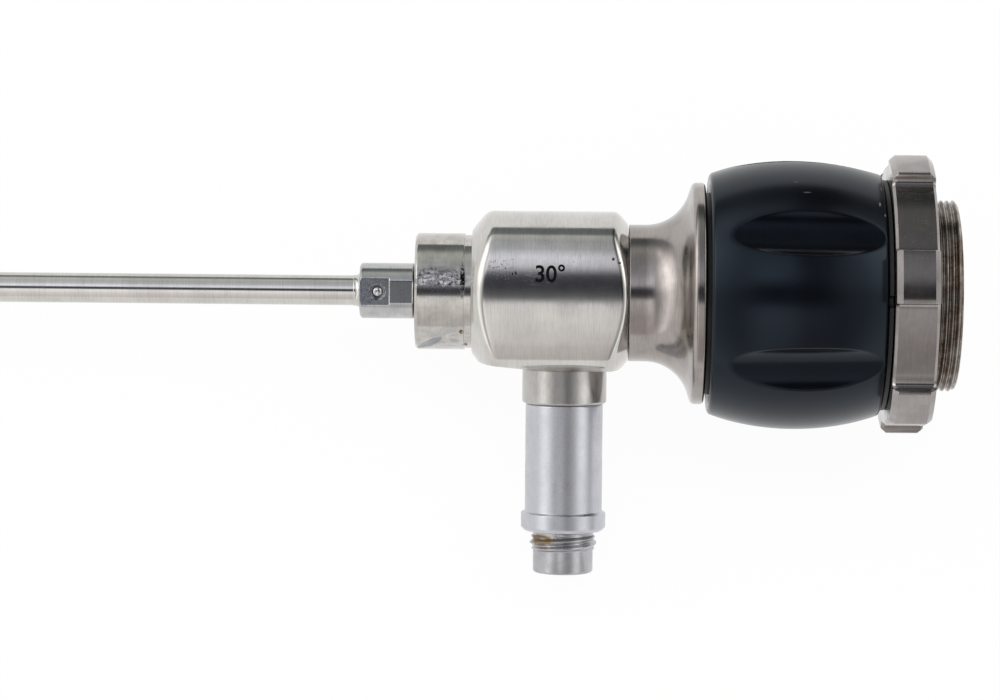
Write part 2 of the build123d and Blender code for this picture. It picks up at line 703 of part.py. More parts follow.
def make_mount_sleeve():
    """The sleeve with the camera thread, whose crests are drawn as a plain cylinder.

    A relief groove parts the camera's stretch of thread from the lock nut's.
    """
    web_x = WINDOW_X - WINDOW_WEB_LENGTH
    relief_end = CAMERA_RELIEF_X + CAMERA_RELIEF_LENGTH
    return turned(
        (SLEEVE_FRONT_X, BARREL_BORE_R),
        (SLEEVE_FRONT_X, SLEEVE_SPIGOT_R),
        (BARREL_REAR_X, SLEEVE_SPIGOT_R),
        (BARREL_REAR_X, CAMERA_THREAD_R),
        (CAMERA_RELIEF_X, CAMERA_THREAD_R),
        (CAMERA_RELIEF_X, CAMERA_THREAD_R - CAMERA_RELIEF_DEPTH),
        (relief_end, CAMERA_THREAD_R - CAMERA_RELIEF_DEPTH),
        (relief_end, CAMERA_THREAD_R),
        (SLEEVE_REAR_X - CAMERA_THREAD_CHAMFER, CAMERA_THREAD_R),
        (SLEEVE_REAR_X, CAMERA_THREAD_R - CAMERA_THREAD_CHAMFER),
        (SLEEVE_REAR_X, WINDOW_R + SEAT),
        (WINDOW_X, WINDOW_R + SEAT),
        (WINDOW_X, WINDOW_WEB_R),
        (web_x, WINDOW_WEB_R),
        (web_x, BARREL_BORE_R),
    )


def make_ring_stop():
    """The thin ring behind the focus ring, with notches for a spanner."""
    rear = BARREL_REAR_X + STOP_RING_LENGTH
    body = tube(BARREL_REAR_X, rear, STOP_RING_R, CAMERA_THREAD_R + SEAT)
    notch = Rot(0, 90, 0) * Cylinder(STOP_RING_NOTCH_R, 4 * STOP_RING_LENGTH)
    return body - spread(Pos(rear, 0, STOP_RING_R) * notch, STOP_RING_NOTCHES, 0)


def make_rear_window():
    return rod(WINDOW_X, WINDOW_X + WINDOW_THICKNESS, WINDOW_R)


def slotted_ring(x0, x1, r_out, r_in):
    """A retaining ring with two spanner slots across its rear face."""
    slot = Pos(x1, 0, 0) * Box(2 * SPANNER_SLOT_DEPTH, SPANNER_SLOT_WIDTH, 2 * r_out)
    return tube(x0, x1, r_out, r_in) - slot


def make_window_ring():
    front = WINDOW_X + WINDOW_THICKNESS
    return slotted_ring(front, front + WINDOW_RING_LENGTH, WINDOW_R, WINDOW_R - WINDOW_RING_WIDTH)


# Focus ring and the lens cell that it drives

def cam_groove():
    """The helical groove in the ring's bore, with a round end at each limit."""
    floor_r = BARREL_R - PLAY
    depth = CAM_R - floor_r
    path = Helix(CAM_LEAD, 2 * FOCUS_TRAVEL, floor_r + depth / 2)
    start = Plane(origin=path @ 0, x_dir=(1, 0, 0), z_dir=path % 0)
    groove = sweep(start * Rectangle(depth, 2 * PIN_SLOT_R), path=path, is_frenet=True)
    end = Pos(floor_r, 0, 0) * Rot(0, 90, 0) * Cylinder(PIN_SLOT_R, depth, align=BASE_CENTRED)
    far_end = Pos(0, 0, 2 * FOCUS_TRAVEL) * Rot(0, 0, 2 * FOCUS_TURN) * end
    on_axis = Pos(RING_MID_X - FOCUS_TRAVEL, 0, 0) * Rot(180 - FOCUS_TURN, 0, 0) * Rot(0, 90, 0)
    return at_angle(PIN_ANGLE) * on_axis * (groove + end + far_end)


def make_focus_ring():
    front_edge = (RING_FRONT_X, 0, RING_END_R)
    rear_edge = (RING_REAR_X, 0, RING_END_R)
    front_bore = (RING_FRONT_X, 0, RING_BORE_R)
    rear_bore = (RING_REAR_X, 0, RING_BORE_R)
    body = turned_edges(
        Line(front_bore, front_edge),
        ThreePointArc(front_edge, (RING_MID_X, 0, RING_R), rear_edge),
        Line(rear_edge, rear_bore),
        Line(rear_bore, front_bore),
    )
    body = fillet(circles_at(body, RING_FRONT_X, RING_END_R), RING_EDGE_R)
    body = fillet(circles_at(body, RING_REAR_X, RING_END_R), RING_EDGE_R)
    cutter = Rot(0, 90 + SCALLOP_TILT, 0) * Cylinder(SCALLOP_CUTTER_R, 2 * RING_LENGTH)
    scallop = Pos(RING_MID_X, 0, RING_R - SCALLOP_DEPTH + SCALLOP_CUTTER_R) * cutter
    return body - spread(scallop, SCALLOP_COUNT, SCALLOP_START) - cam_groove()


def pin_from(r0, r1, r):
    """A radial cylinder at the drive pin's place, between two distances from the axis."""
    upright = Cylinder(r, r1 - r0, align=BASE_CENTRED)
    return at_angle(PIN_ANGLE) * Pos(RING_MID_X, 0, r0) * upright


def make_focus_cell():
    rear = CELL_FRONT_X + CELL_LENGTH
    body = turned(
        (CELL_FRONT_X, CELL_LIP_R),
        (CELL_FRONT_X, CELL_R),
        (rear, CELL_R),
        (rear, CELL_BORE_R),
        (CROWN_X, CELL_BORE_R),
        (CROWN_X, CELL_LIP_R),
    )
    return body - pin_from(CELL_R - PIN_SEAT_DEPTH, BARREL_R, PIN_R + SEAT)


def make_drive_pin():
    return pin_from(CELL_R - PIN_SEAT_DEPTH, CAM_R - CAM_FLOOR_GAP, PIN_R)


def cement_vertex():
    """Where the cemented faces of the doublet meet the axis."""
    return CROWN_X + CROWN_EDGE + sag(CEMENT_CURVE_R, LENS_R)


def flint_rear():
    return cement_vertex() + SEAT + FLINT_CENTRE


def make_crown_lens():
    rim_r = CELL_LIP_R - RUN
    edge_x = CROWN_X + CROWN_EDGE
    front_vertex = CROWN_X - sag(CROWN_CURVE_R, rim_r)
    return turned_edges(
        dome(front_vertex, CROWN_CURVE_R, rim_r, 1),
        Line((CROWN_X, 0, rim_r), (CROWN_X, 0, LENS_R)),
        Line((CROWN_X, 0, LENS_R), (edge_x, 0, LENS_R)),
        dome(cement_vertex(), CEMENT_CURVE_R, LENS_R, -1),
        Line((cement_vertex(), 0, 0), (front_vertex, 0, 0)),
    )


def make_flint_lens():
    vertex = cement_vertex() + SEAT
    rear = flint_rear()
    return turned_edges(
        dome(vertex, CEMENT_CURVE_R, LENS_R, -1),
        Line((vertex - sag(CEMENT_CURVE_R, LENS_R), 0, LENS_R), (rear, 0, LENS_R)),
        Line((rear, 0, LENS_R), (rear, 0, 0)),
        Line((rear, 0, 0), (vertex, 0, 0)),
    )


def make_cell_lens_ring():
    rear = flint_rear() + CELL_RING_LENGTH
    return slotted_ring(flint_rear(), rear, LENS_R, LENS_R - CELL_RING_WIDTH)


# Lock nut

def nut_outline():
    """A round nut with wide recesses between its grip lobes, softly rounded at their roots."""
    root_r = NUT_R - NUT_RECESS_DEPTH
    gap_half = math.radians(180 / NUT_LOBES - NUT_LOBE_ANGLE / 2)
    reach = 2 * NUT_R
    spread_y = reach * math.tan(gap_half)
    wedge = make_face(Polyline((0, 0), (reach, spread_y), (reach, -spread_y), close=True))
    recess = wedge - Circle(root_r)
    gaps = [NUT_LOBE_START + 360 / NUT_LOBES * (k + 0.5) for k in range(NUT_LOBES)]
    outline = Circle(NUT_R) - [Rot(0, 0, angle) * recess for angle in gaps]
    limit_r = NUT_R - NUT_RECESS_DEPTH / 2
    roots = outline.vertices().filter_by(lambda v: math.hypot(v.X, v.Y) < limit_r)
    return fillet(roots, NUT_RECESS_CORNER_R)


def make_lock_nut():
    face = Plane(origin=(NUT_FRONT_X, 0, 0), x_dir=(0, -1, 0), z_dir=(-1, 0, 0))
    body = extrude(face * nut_outline(), -NUT_LENGTH)
    body = chamfer(body.faces().filter_by(Axis.X).edges(), NUT_RECESS_CHAMFER)
    bore_r = CAMERA_THREAD_R + RUN
    blank = turned(
        (NUT_FRONT_X, bore_r + NUT_BORE_CHAMFER),
        (NUT_FRONT_X, NUT_R - NUT_LOBE_CHAMFER),
        (NUT_FRONT_X + NUT_LOBE_CHAMFER, NUT_R),
        (NUT_REAR_X - NUT_LOBE_CHAMFER, NUT_R),
        (NUT_REAR_X, NUT_R - NUT_LOBE_CHAMFER),
        (NUT_REAR_X, bore_r + NUT_BORE_CHAMFER),
        (NUT_REAR_X - NUT_BORE_CHAMFER, bore_r),
        (NUT_FRONT_X + NUT_BORE_CHAMFER, bore_r),
    )
    return body & blank


def rest_pose():
    """Tilts the instrument so that its tube tip, its widest ring and its light post touch down.

    The floor lies on the +Y side. The tube and the rings set the pitch. The end of the
    light post, a disc with a rounded rim, sets how far the post leans below level.
    """
    rings = [(RING_MID_X, RING_R), (NUT_FRONT_X + NUT_LOBE_CHAMFER, NUT_R)]
    reach = POST_LENGTH - POST_TIP_EDGE_R
    rim_r = POST_TIP_R - POST_TIP_EDGE_R
    lean = 0.0
    for _ in range(6):
        tip_x = TIP_X + TUBE_R * (1 - math.sin(lean)) * math.tan(math.radians(VIEW_ANGLE))
        pitch = max(math.atan2(r - TUBE_R, x - tip_x) for x, r in rings)
        axis_height = (POST_X - tip_x) * math.sin(pitch) + TUBE_R * math.cos(pitch)
        rise = (axis_height - POST_TIP_EDGE_R) / math.hypot(reach, rim_r)
        dip = math.asin(rise) - math.atan2(rim_r, reach)
        lean = math.asin(math.sin(dip) / math.cos(pitch))
    return Rot(0, -math.degrees(pitch), 0) * Rot(math.degrees(lean) - 90, 0, 0)


def make_pieces():
    """Every piece, by name, in the instrument's own axes."""
    return {
        "sheath_tube": make_sheath_tube(),
        "optic_tube": make_optic_tube(),
        "tip_window": make_tip_window(),
        "tip_prism": make_tip_prism(),
        "objective_lens": make_objective_lens(),
        "rod_lenses": make_rod_lenses(),
        "rod_spacers": make_rod_spacers(),
        "fibre_bundle": make_fibre_bundle(),
        "tube_fillet": make_tube_fillet(),
        "sheath_hub": make_sheath_hub(),
        "hub_pin": make_hub_pin(),
        "lock_collar": make_lock_collar(),
        "scope_housing": make_scope_housing(),
        "post_collar": make_post_collar(),
        "post_sleeve": make_post_sleeve(),
        "post_core": make_post_core(),
        "post_ferrule": make_post_ferrule(),
        "ocular_tube": make_ocular_tube(),
        "field_stop": make_field_stop(),
        "ocular_lens": make_ocular_lens(),
        "ocular_lens_ring": make_ocular_lens_ring(),
        "swivel_washer": make_swivel_washer(),
        "swivel_o_ring": make_swivel_o_ring(),
        "swivel_clip": make_swivel_clip(),
        "neck_funnel": make_neck_funnel(),
        "coupler_barrel": make_coupler_barrel(),
        "front_ring_seal": make_ring_seal(RING_FRONT_X + FRONT_SEAL_OFFSET),
        "rear_ring_seal": make_ring_seal(RING_REAR_X - REAR_SEAL_OFFSET),
        "mount_sleeve": make_mount_sleeve(),
        "ring_stop": make_ring_stop(),
        "rear_window": make_rear_window(),
        "window_ring": make_window_ring(),
        "focus_ring": make_focus_ring(),
        "focus_cell": make_focus_cell(),
        "drive_pin": make_drive_pin(),
        "crown_lens": make_crown_lens(),
        "flint_lens": make_flint_lens(),
        "cell_lens_ring": make_cell_lens_ring(),
        "lock_nut": make_lock_nut(),
    }


def on_table(pieces):
    """The rest pose, moved so that the middle of the footprint is the origin."""
    tilted = Compound([rest_pose() * piece for piece in pieces.values()])
    box = tilted.bounding_box()
    return Pos(-box.center().X, -box.center().Y, -box.min.Z) * rest_pose()


PIECES = make_pieces()
PLACE = on_table(PIECES)

os.makedirs("parts", exist_ok=True)
for name, piece in PIECES.items():
    export_step(PLACE * piece, f"parts/{name}.step")
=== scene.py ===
import json
import math

import bmesh
import bpy
from mathutils import Matrix, Vector


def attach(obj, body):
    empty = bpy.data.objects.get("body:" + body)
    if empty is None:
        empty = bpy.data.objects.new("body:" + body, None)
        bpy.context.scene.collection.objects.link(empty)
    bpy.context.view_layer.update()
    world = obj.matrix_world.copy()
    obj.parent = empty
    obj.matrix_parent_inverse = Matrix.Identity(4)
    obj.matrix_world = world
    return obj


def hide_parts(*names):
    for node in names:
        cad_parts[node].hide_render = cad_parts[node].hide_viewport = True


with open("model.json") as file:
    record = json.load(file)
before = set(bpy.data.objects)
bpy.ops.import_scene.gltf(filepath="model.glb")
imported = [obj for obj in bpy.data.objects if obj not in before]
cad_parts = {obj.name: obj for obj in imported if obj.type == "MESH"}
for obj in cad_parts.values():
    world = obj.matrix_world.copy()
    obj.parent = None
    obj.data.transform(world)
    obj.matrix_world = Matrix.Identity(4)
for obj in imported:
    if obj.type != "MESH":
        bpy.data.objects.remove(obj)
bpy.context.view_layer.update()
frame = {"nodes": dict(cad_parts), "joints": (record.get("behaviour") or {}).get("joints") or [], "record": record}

# The instrument's own axes, in millimetres: +X to the camera end, -Z down the light
# post, origin on the optical axis at the seam between housing and coupler.
JOINTS = {j["name"]: j for j in frame["joints"]}
MOUNTS = {m["name"]: m for m in frame["record"]["mounts"]}
X_AXIS = Vector(JOINTS["swivel"]["axis"]).normalized()
Z_AXIS = -Vector(MOUNTS["light_guide_tip"]["axis"]).normalized()
Y_AXIS = Z_AXIS.cross(X_AXIS)
ORIGIN = Vector(JOINTS["swivel"]["pos_m"])
MM = 0.001
TURN = Matrix((X_AXIS, Y_AXIS, Z_AXIS)).transposed().to_4x4()
TO_WORLD = Matrix.Translation(ORIGIN) @ TURN @ Matrix.Scale(MM, 4)
TO_LOCAL = TO_WORLD.inverted()


class Extent:
    """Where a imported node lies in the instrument's axes, in millimetres."""

    def __init__(self, node):
        points = [TO_LOCAL @ v.co for v in frame["nodes"][node].data.vertices]
        self.x0 = min(p.x for p in points)
        self.x1 = max(p.x for p in points)
        self.r = max(math.hypot(p.y, p.z) for p in points)
        self.z0 = min(p.z for p in points)
        self.z1 = max(p.z for p in points)
        self.x_mid = (self.x0 + self.x1) / 2
        self.width_r = (self.x1 - self.x0) / 2


HUB = Extent("sheath_hub")
COLLAR = Extent("lock_collar")
HOUSING = Extent("scope_housing")
NECK = Extent("neck_funnel")
RING = Extent("focus_ring")
NUT = Extent("lock_nut")
MOUNT = Extent("mount_sleeve")
CORE = Extent("post_core")
SLEEVE = Extent("post_sleeve")
POST_COLLAR = Extent("post_collar")
POST_X = SLEEVE.x_mid
SLEEVE_END = -SLEEVE.z0

# The bore of the pieces that hold the tube's turned-down root
ROOT_BORE = 1.84
# How far behind the hub's front the round pin sits
PIN_SETBACK = 2.4
# The housing's side is a shallow arc, so far from the optical axis at its middle
SIDE_R = 25.0
SIDE_DEPTH = 9.5
SIDE_CENTRE = SIDE_R - SIDE_DEPTH
# The journal's seat, which runs through the housing's rear and the neck's front
JOURNAL_SEAT_R = 7.4
# The bore in which the light post's own pieces sit
POST_BORE = 4.5


# Meshes

def smooth_min(a, b, k):
    """The lower of two radii, with the crease between them rounded over a width."""
    h = max(k - abs(a - b), 0.0) / k
    return min(a, b) - h * h * k / 4


def steps(a, b, count):
    """Evenly spaced values from a to b."""
    return [a + (b - a) * i / (count - 1) for i in range(count)]


def eased(a, b, count):
    """Values from a to b, closer together near both ends."""
    return [a + (b - a) * (1 - math.cos(math.pi * i / (count - 1))) / 2 for i in range(count)]


def ring_mesh(name, loops):
    """A closed surface through loops that each have as many points, joined end to end."""
    count = len(loops)
    size = len(loops[0])
    verts = [TO_WORLD @ Vector(p) for loop in loops for p in loop]
    faces = []
    for i in range(count):
        near = i * size
        far = (i + 1) % count * size
        for j in range(size):
            k = (j + 1) % size
            faces.append((near + j, near + k, far + k, far + j))
    mesh = bpy.data.meshes.new(name)
    mesh.from_pydata(verts, [], faces)
    mesh.validate()
    mesh.polygons.foreach_set("use_smooth", [True] * len(mesh.polygons))
    obj = bpy.data.objects.new(name, mesh)
    bpy.context.scene.collection.objects.link(obj)
    return obj


def outward(obj):
    """Turns the faces so that the closed surface encloses a positive volume."""
    mesh = obj.data
    mesh.calc_loop_triangles()
    volume = 0.0
    for tri in mesh.loop_triangles:
        a, b, c = (mesh.vertices[i].co for i in tri.vertices)
        volume += a.dot(b.cross(c))
    if volume < 0:
        mesh.flip_normals()
    return obj


def soften(obj, width, limit=28.0, bevel_slot=-1):
    """Rounds the sharp edges, as a deburred edge is, with the bevels in another material slot where one is given.
    """
    bevel = obj.modifiers.new("edges", "BEVEL")
    bevel.width = width * MM
    bevel.segments = 2
    bevel.limit_method = "ANGLE"
    bevel.angle_limit = math.radians(limit)
    bevel.harden_normals = True
    bevel.material = bevel_slot
    return obj


def about_axis(angle_deg, x, r):
    """A point on the optical axis's cylinder, angles from the viewed side towards +Z."""
    a = math.radians(angle_deg)
    return (x, -r * math.cos(a), r * math.sin(a))


def about_post(angle_deg, depth, r):
    """A point on the light post's cylinder, at a depth below the optical axis."""
    a = math.radians(angle_deg)
    return (POST_X + r * math.sin(a), -r * math.cos(a), -depth)


def lathe(name, profile, point=about_axis, segments=160):
    """A closed profile of (place along the axis, radius) points, turned about an axis."""
    angles = [360 * i / segments for i in range(segments)]
    return outward(ring_mesh(name, [[point(a, x, r) for x, r in profile] for a in angles]))


def finish_piece(obj, body, slot, *nodes):
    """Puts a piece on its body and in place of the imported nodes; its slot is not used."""
    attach(obj, body)
    if nodes:
        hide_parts(*nodes)
    return obj


# Materials

BUMP_MM = 0.02
# The grain of fine turning: lines round the axis
ALONG_X = (9.0, 0.35, 0.35)
# The grain of a blasted surface, the same every way
EVEN = (5.0, 5.0, 5.0)


def nodes_of(name):
    """A new material with its node tree and its shader."""
    mat = bpy.data.materials.new(name)
    mat.use_nodes = True
    tree = mat.node_tree
    return mat, tree, tree.nodes["Principled BSDF"]


def add(tree, kind, **values):
    node = tree.nodes.new(kind)
    for key, value in values.items():
        setattr(node, key, value)
    return node


def local_mm(tree):
    """The surface point in the instrument's own axes, in millimetres."""
    coord = add(tree, "ShaderNodeTexCoord")
    shift = add(tree, "ShaderNodeVectorMath", operation="SUBTRACT")
    shift.inputs[1].default_value = ORIGIN
    tree.links.new(coord.outputs["Object"], shift.inputs[0])
    join = add(tree, "ShaderNodeCombineXYZ")
    for i, axis in enumerate((X_AXIS, Y_AXIS, Z_AXIS)):
        dot = add(tree, "ShaderNodeVectorMath", operation="DOT_PRODUCT")
        dot.inputs[1].default_value = axis / MM
        tree.links.new(shift.outputs[0], dot.inputs[0])
        tree.links.new(dot.outputs["Value"], join.inputs[i])
    return join.outputs[0]


def noise(tree, vector, stretch, detail=3.0, rough=0.6):
    """Noise over a stretched space: a larger number gives finer change along that axis."""
    mapping = add(tree, "ShaderNodeVectorMath", operation="MULTIPLY")
    mapping.inputs[1].default_value = stretch
    tree.links.new(vector, mapping.inputs[0])
    tex = add(tree, "ShaderNodeTexNoise")
    tex.inputs["Scale"].default_value = 1.0
    tex.inputs["Detail"].default_value = detail
    tex.inputs["Roughness"].default_value = rough
    tree.links.new(mapping.outputs[0], tex.inputs["Vector"])
    return tex.outputs["Fac"]


def ramp(tree, fac, stops):
    """Linear stops of (place, value), where a value is a grey or a colour."""
    node = add(tree, "ShaderNodeValToRGB")
    while len(node.color_ramp.elements) < len(stops):
        node.color_ramp.elements.new(0.5)
    for element, (place, value) in zip(node.color_ramp.elements, stops):
        element.position = place
        element.color = (*value, 1) if isinstance(value, tuple) else (value, value, value, 1)
    tree.links.new(fac, node.inputs[0])
    return node.outputs[0]


def bump(tree, height, strength):
    node = add(tree, "ShaderNodeBump")
    node.inputs["Strength"].default_value = strength
    node.inputs["Distance"].default_value = BUMP_MM * MM
    tree.links.new(height, node.inputs["Height"])
    return node.outputs[0]


def mix(tree, fac, a, b, blend="MIX"):
    """Mixes two colours, where each input is a socket to link or a plain value."""
    node = add(tree, "ShaderNodeMix", data_type="RGBA", blend_type=blend)
    for socket, value in ((node.inputs[0], fac), (node.inputs[6], a), (node.inputs[7], b)):
        if hasattr(value, "links"):
            tree.links.new(value, socket)
        elif socket == node.inputs[0]:
            socket.default_value = value
        else:
            socket.default_value = (*value, 1)
    return node.outputs[2]


def product(tree, a, b):
    """Two values multiplied."""
    node = add(tree, "ShaderNodeMath", operation="MULTIPLY")
    tree.links.new(a, node.inputs[0])
    tree.links.new(b, node.inputs[1])
    return node.outputs[0]


def patch(tree, place, centre, radii):
    """One inside a soft-edged ellipsoid, in the instrument's millimetres."""
    shift = add(tree, "ShaderNodeVectorMath", operation="SUBTRACT")
    shift.inputs[1].default_value = centre
    tree.links.new(place, shift.inputs[0])
    scale = add(tree, "ShaderNodeVectorMath", operation="MULTIPLY")
    scale.inputs[1].default_value = [1 / r for r in radii]
    tree.links.new(shift.outputs[0], scale.inputs[0])
    length = add(tree, "ShaderNodeVectorMath", operation="LENGTH")
    tree.links.new(scale.outputs[0], length.inputs[0])
    return ramp(tree, length.outputs["Value"], [(0.6, 1.0), (1.0, 0.0)])


def marked(tree, place, colour, gloss, marks):
    """Lays stains, pits, scratches and painted shade over a colour and a roughness, each in its own patch."""
    for centre, radii, stretch, cover, tone, rough in marks:
        mask = patch(tree, place, centre, radii)
        if stretch:
            grains = noise(tree, place, stretch, detail=4.0, rough=0.7)
            spots = ramp(tree, grains, [(cover - 0.05, 0.0), (cover + 0.05, 1.0)])
            mask = product(tree, mask, spots)
        colour = mix(tree, mask, colour, tone)
        gloss = mix(tree, mask, gloss, (rough, rough, rough))
    return colour, gloss


def steel(name, light, dark, rough, grain=ALONG_X, blotch=0.25, bite=0.12, marks=()):
    """Fine-turned stainless steel: lines round the axis, slow stains and uneven gloss."""
    mat, tree, shader = nodes_of(name)
    place = local_mm(tree)
    lines = noise(tree, place, grain, detail=4.0, rough=0.75)
    cloud = noise(tree, place, (blotch, blotch, blotch), detail=3.0)
    tone = ramp(tree, cloud, [(0.35, dark), (0.62, light)])
    fleck = ramp(tree, lines, [(0.30, 0.84), (0.55, 1.0)])
    colour = mix(tree, 1.0, tone, fleck, "MULTIPLY")
    gloss = ramp(tree, cloud, [(0.3, rough * 1.25), (0.7, rough * 0.8)])
    colour, gloss = marked(tree, place, colour, gloss, marks)
    tree.links.new(colour, shader.inputs["Base Color"])
    tree.links.new(gloss, shader.inputs["Roughness"])
    tree.links.new(bump(tree, lines, bite), shader.inputs["Normal"])
    shader.inputs["Metallic"].default_value = 1.0
    return mat


def anodised(name, base, rough, sheen_tint, shine=0.5, marks=()):
    """A satin surface with a slow cloud in its tone and a fine grit."""
    mat, tree, shader = nodes_of(name)
    place = local_mm(tree)
    cloud = noise(tree, place, (0.12, 0.12, 0.12), detail=4.0)
    grit = noise(tree, place, (14.0, 14.0, 14.0), detail=2.0)
    tone = ramp(tree, cloud, [(0.35, base), (0.7, tuple(c * 1.5 for c in base))])
    gloss = ramp(tree, cloud, [(0.3, rough * 0.85), (0.7, rough * 1.2)])
    tone, gloss = marked(tree, place, tone, gloss, marks)
    tree.links.new(tone, shader.inputs["Base Color"])
    tree.links.new(gloss, shader.inputs["Roughness"])
    tree.links.new(bump(tree, grit, 0.05), shader.inputs["Normal"])
    shader.inputs["Specular Tint"].default_value = (*sheen_tint, 1)
    shader.inputs["Specular IOR Level"].default_value = shine
    return mat


def glass(name, tint):
    """Clear glass with a thin, uneven film."""
    mat, tree, shader = nodes_of(name)
    place = local_mm(tree)
    film = noise(tree, place, (0.3, 0.3, 0.3))
    tree.links.new(ramp(tree, film, [(0.3, 0.02), (0.7, 0.06)]), shader.inputs["Roughness"])
    tree.links.new(ramp(tree, film, [(0.3, tint), (0.8, tuple(c * 0.9 for c in tint))]),
                   shader.inputs["Base Color"])
    shader.inputs["Transmission Weight"].default_value = 1.0
    shader.inputs["IOR"].default_value = 1.52
    return mat


# Each mark: its centre and radii in mm, the grain of its noise or none for a full patch,
# how high the noise has to be, its colour and its roughness
HOUSING_MARKS = [
    ((-16.6, -9.4, 3.4), (2.6, 1.5, 2.2), (2.6, 1.0, 2.6), 0.61, (0.14, 0.14, 0.15), 0.4),
    ((-13.0, -9.0, 3.6), (6.5, 1.8, 3.2), (0.7, 0.7, 5.0), 0.62, (0.66, 0.66, 0.68), 0.22),
    ((-15.15, -9.3, 2.85), (0.13, 0.6, 0.30), None, 0.0, (0.01, 0.01, 0.01), 0.5),
    ((-14.72, -9.3, 2.95), (0.14, 0.6, 0.34), None, 0.0, (0.01, 0.01, 0.01), 0.5),
    ((-2.0, -9.0, 4.9), (0.22, 1.2, 0.24), None, 0.0, (0.05, 0.05, 0.05), 0.5),
    ((-1.2, -9.0, 4.4), (0.30, 1.2, 0.16), None, 0.0, (0.05, 0.05, 0.05), 0.5),
    ((-9.0, -9.0, 2.0), (9.0, 2.0, 4.0), (2.6, 2.6, 2.6), 0.69, (0.22, 0.22, 0.22), 0.4),
]
COLLAR_STAINS_AND_SHADE = [
    ((-24.9, -7.6, 1.9), (5.0, 3.2, 2.1), (1.1, 1.1, 2.0), 0.47, (0.27, 0.26, 0.265), 0.22),
    ((-25.0, -7.6, 2.2), (4.6, 3.0, 1.7), (2.4, 2.4, 3.2), 0.575, (0.045, 0.043, 0.046), 0.4),
    ((-21.75, -7.6, 1.9), (0.40, 3.0, 2.7), (2.5, 2.5, 2.5), 0.44, (0.008, 0.008, 0.008), 0.6),
    ((-21.9, -5.9, -5.0), (0.34, 1.2, 0.36), (2.5, 2.5, 2.5), 0.44, (0.14, 0.08, 0.03), 0.6),
    ((-21.4, -3.6, -6.9), (0.34, 1.4, 0.36), (2.5, 2.5, 2.5), 0.44, (0.16, 0.09, 0.03), 0.6),
    # The last one is painted shade: grey-blue streaks for the darker look of a shallow track milled low on the
    # collar, which the mesh does not have
    ((-23.5, -5.0, -6.2), (3.4, 3.0, 2.2), (0.8, 0.8, 4.0), 0.55, (0.36, 0.37, 0.39), 0.2),
]
HUB_MARKS_AND_POCKET_SHADE = [
    ((-35.0, -3.4, 0.0), (4.0, 1.0, 2.3), (1.3, 1.3, 1.3), 0.46, (0.30, 0.32, 0.37), 0.3),
    ((-34.2, -3.4, 0.0), (4.0, 1.0, 2.2), (2.6, 2.6, 2.6), 0.57, (0.13, 0.135, 0.16), 0.4),
    # The last one is painted shade: a near-black patch over the sunk pocket round the pin
    ((HUB.x0 + PIN_SETBACK, -3.1, 0.0), (1.25, 1.0, 1.25), None, 0.0, (0.07, 0.07, 0.085), 0.35),
]
CORE_MARKS = [
    ((-11.0, -2.5, -32.9), (2.6, 3.5, 0.9), (1.1, 1.1, 1.6), 0.42, (0.26, 0.19, 0.115), 0.5),
]
RING_MARKS = [
    ((21.6, -11.0, 15.2), (0.45, 3.0, 0.09), None, 0.0, (0.045, 0.048, 0.056), 0.4),
    ((23.0, -11.5, 13.9), (0.60, 3.0, 0.10), None, 0.0, (0.040, 0.043, 0.050), 0.4),
    ((32.9, -9.5, 14.4), (0.14, 3.0, 0.40), None, 0.0, (0.13, 0.14, 0.15), 0.5),
    ((32.5, -10.5, 12.4), (0.16, 3.0, 0.28), None, 0.0, (0.12, 0.13, 0.14), 0.5),
    ((33.1, -11.0, 11.0), (0.12, 3.0, 0.22), None, 0.0, (0.12, 0.13, 0.14), 0.5),
    ((24.0, -14.0, 2.0), (12.0, 9.0, 17.0), (4.2, 4.2, 4.2), 0.775, (0.10, 0.11, 0.12), 0.5),
]
NUT_MARKS = [
    # Dark streaks along the axis, thickest over the nut's upper side
    ((36.0, -12.0, 6.0), (6.0, 9.0, 14.0), (0.6, 3.2, 3.2), 0.66, (0.13, 0.12, 0.115), 0.42),
]
STEEL_BODY = steel(
    "instrument_steel", (0.630, 0.612, 0.580), (0.570, 0.553, 0.524), 0.12, marks=HOUSING_MARKS
)
STEEL_PIN = steel("pin_steel", (0.68, 0.67, 0.66), (0.60, 0.59, 0.58), 0.09)
STEEL_COLLAR = steel(
    "collar_steel", (0.600, 0.578, 0.545), (0.470, 0.450, 0.420), 0.115, blotch=0.45,
    marks=COLLAR_STAINS_AND_SHADE,
)
# The ramps' steel is rougher, and darker as painted shade on the cut faces
STEEL_RAMP_SHADE = steel("ramp_shade_steel", (0.36, 0.375, 0.39), (0.28, 0.29, 0.30), 0.20)
STEEL_HUB = steel("hub_steel", (0.560, 0.555, 0.545), (0.430, 0.435, 0.440), 0.15, marks=HUB_MARKS_AND_POCKET_SHADE)
STEEL_POST = steel(
    "post_steel", (0.585, 0.588, 0.625), (0.535, 0.540, 0.575), 0.31, grain=EVEN, bite=0.02
)
STEEL_POST_COLLAR = steel(
    "post_collar_steel", (0.520, 0.505, 0.480), (0.440, 0.425, 0.405), 0.22, grain=(9.0, 9.0, 0.8)
)
STEEL_CORE = steel(
    "post_core_steel", (0.500, 0.500, 0.520), (0.400, 0.395, 0.405), 0.27, grain=EVEN,
    marks=CORE_MARKS,
)
STEEL_NECK = steel("neck_steel", (0.385, 0.352, 0.334), (0.320, 0.290, 0.272), 0.17)
STEEL_NUT = steel(
    "nut_steel", (0.385, 0.358, 0.345), (0.300, 0.276, 0.262), 0.17, blotch=0.2, marks=NUT_MARKS
)
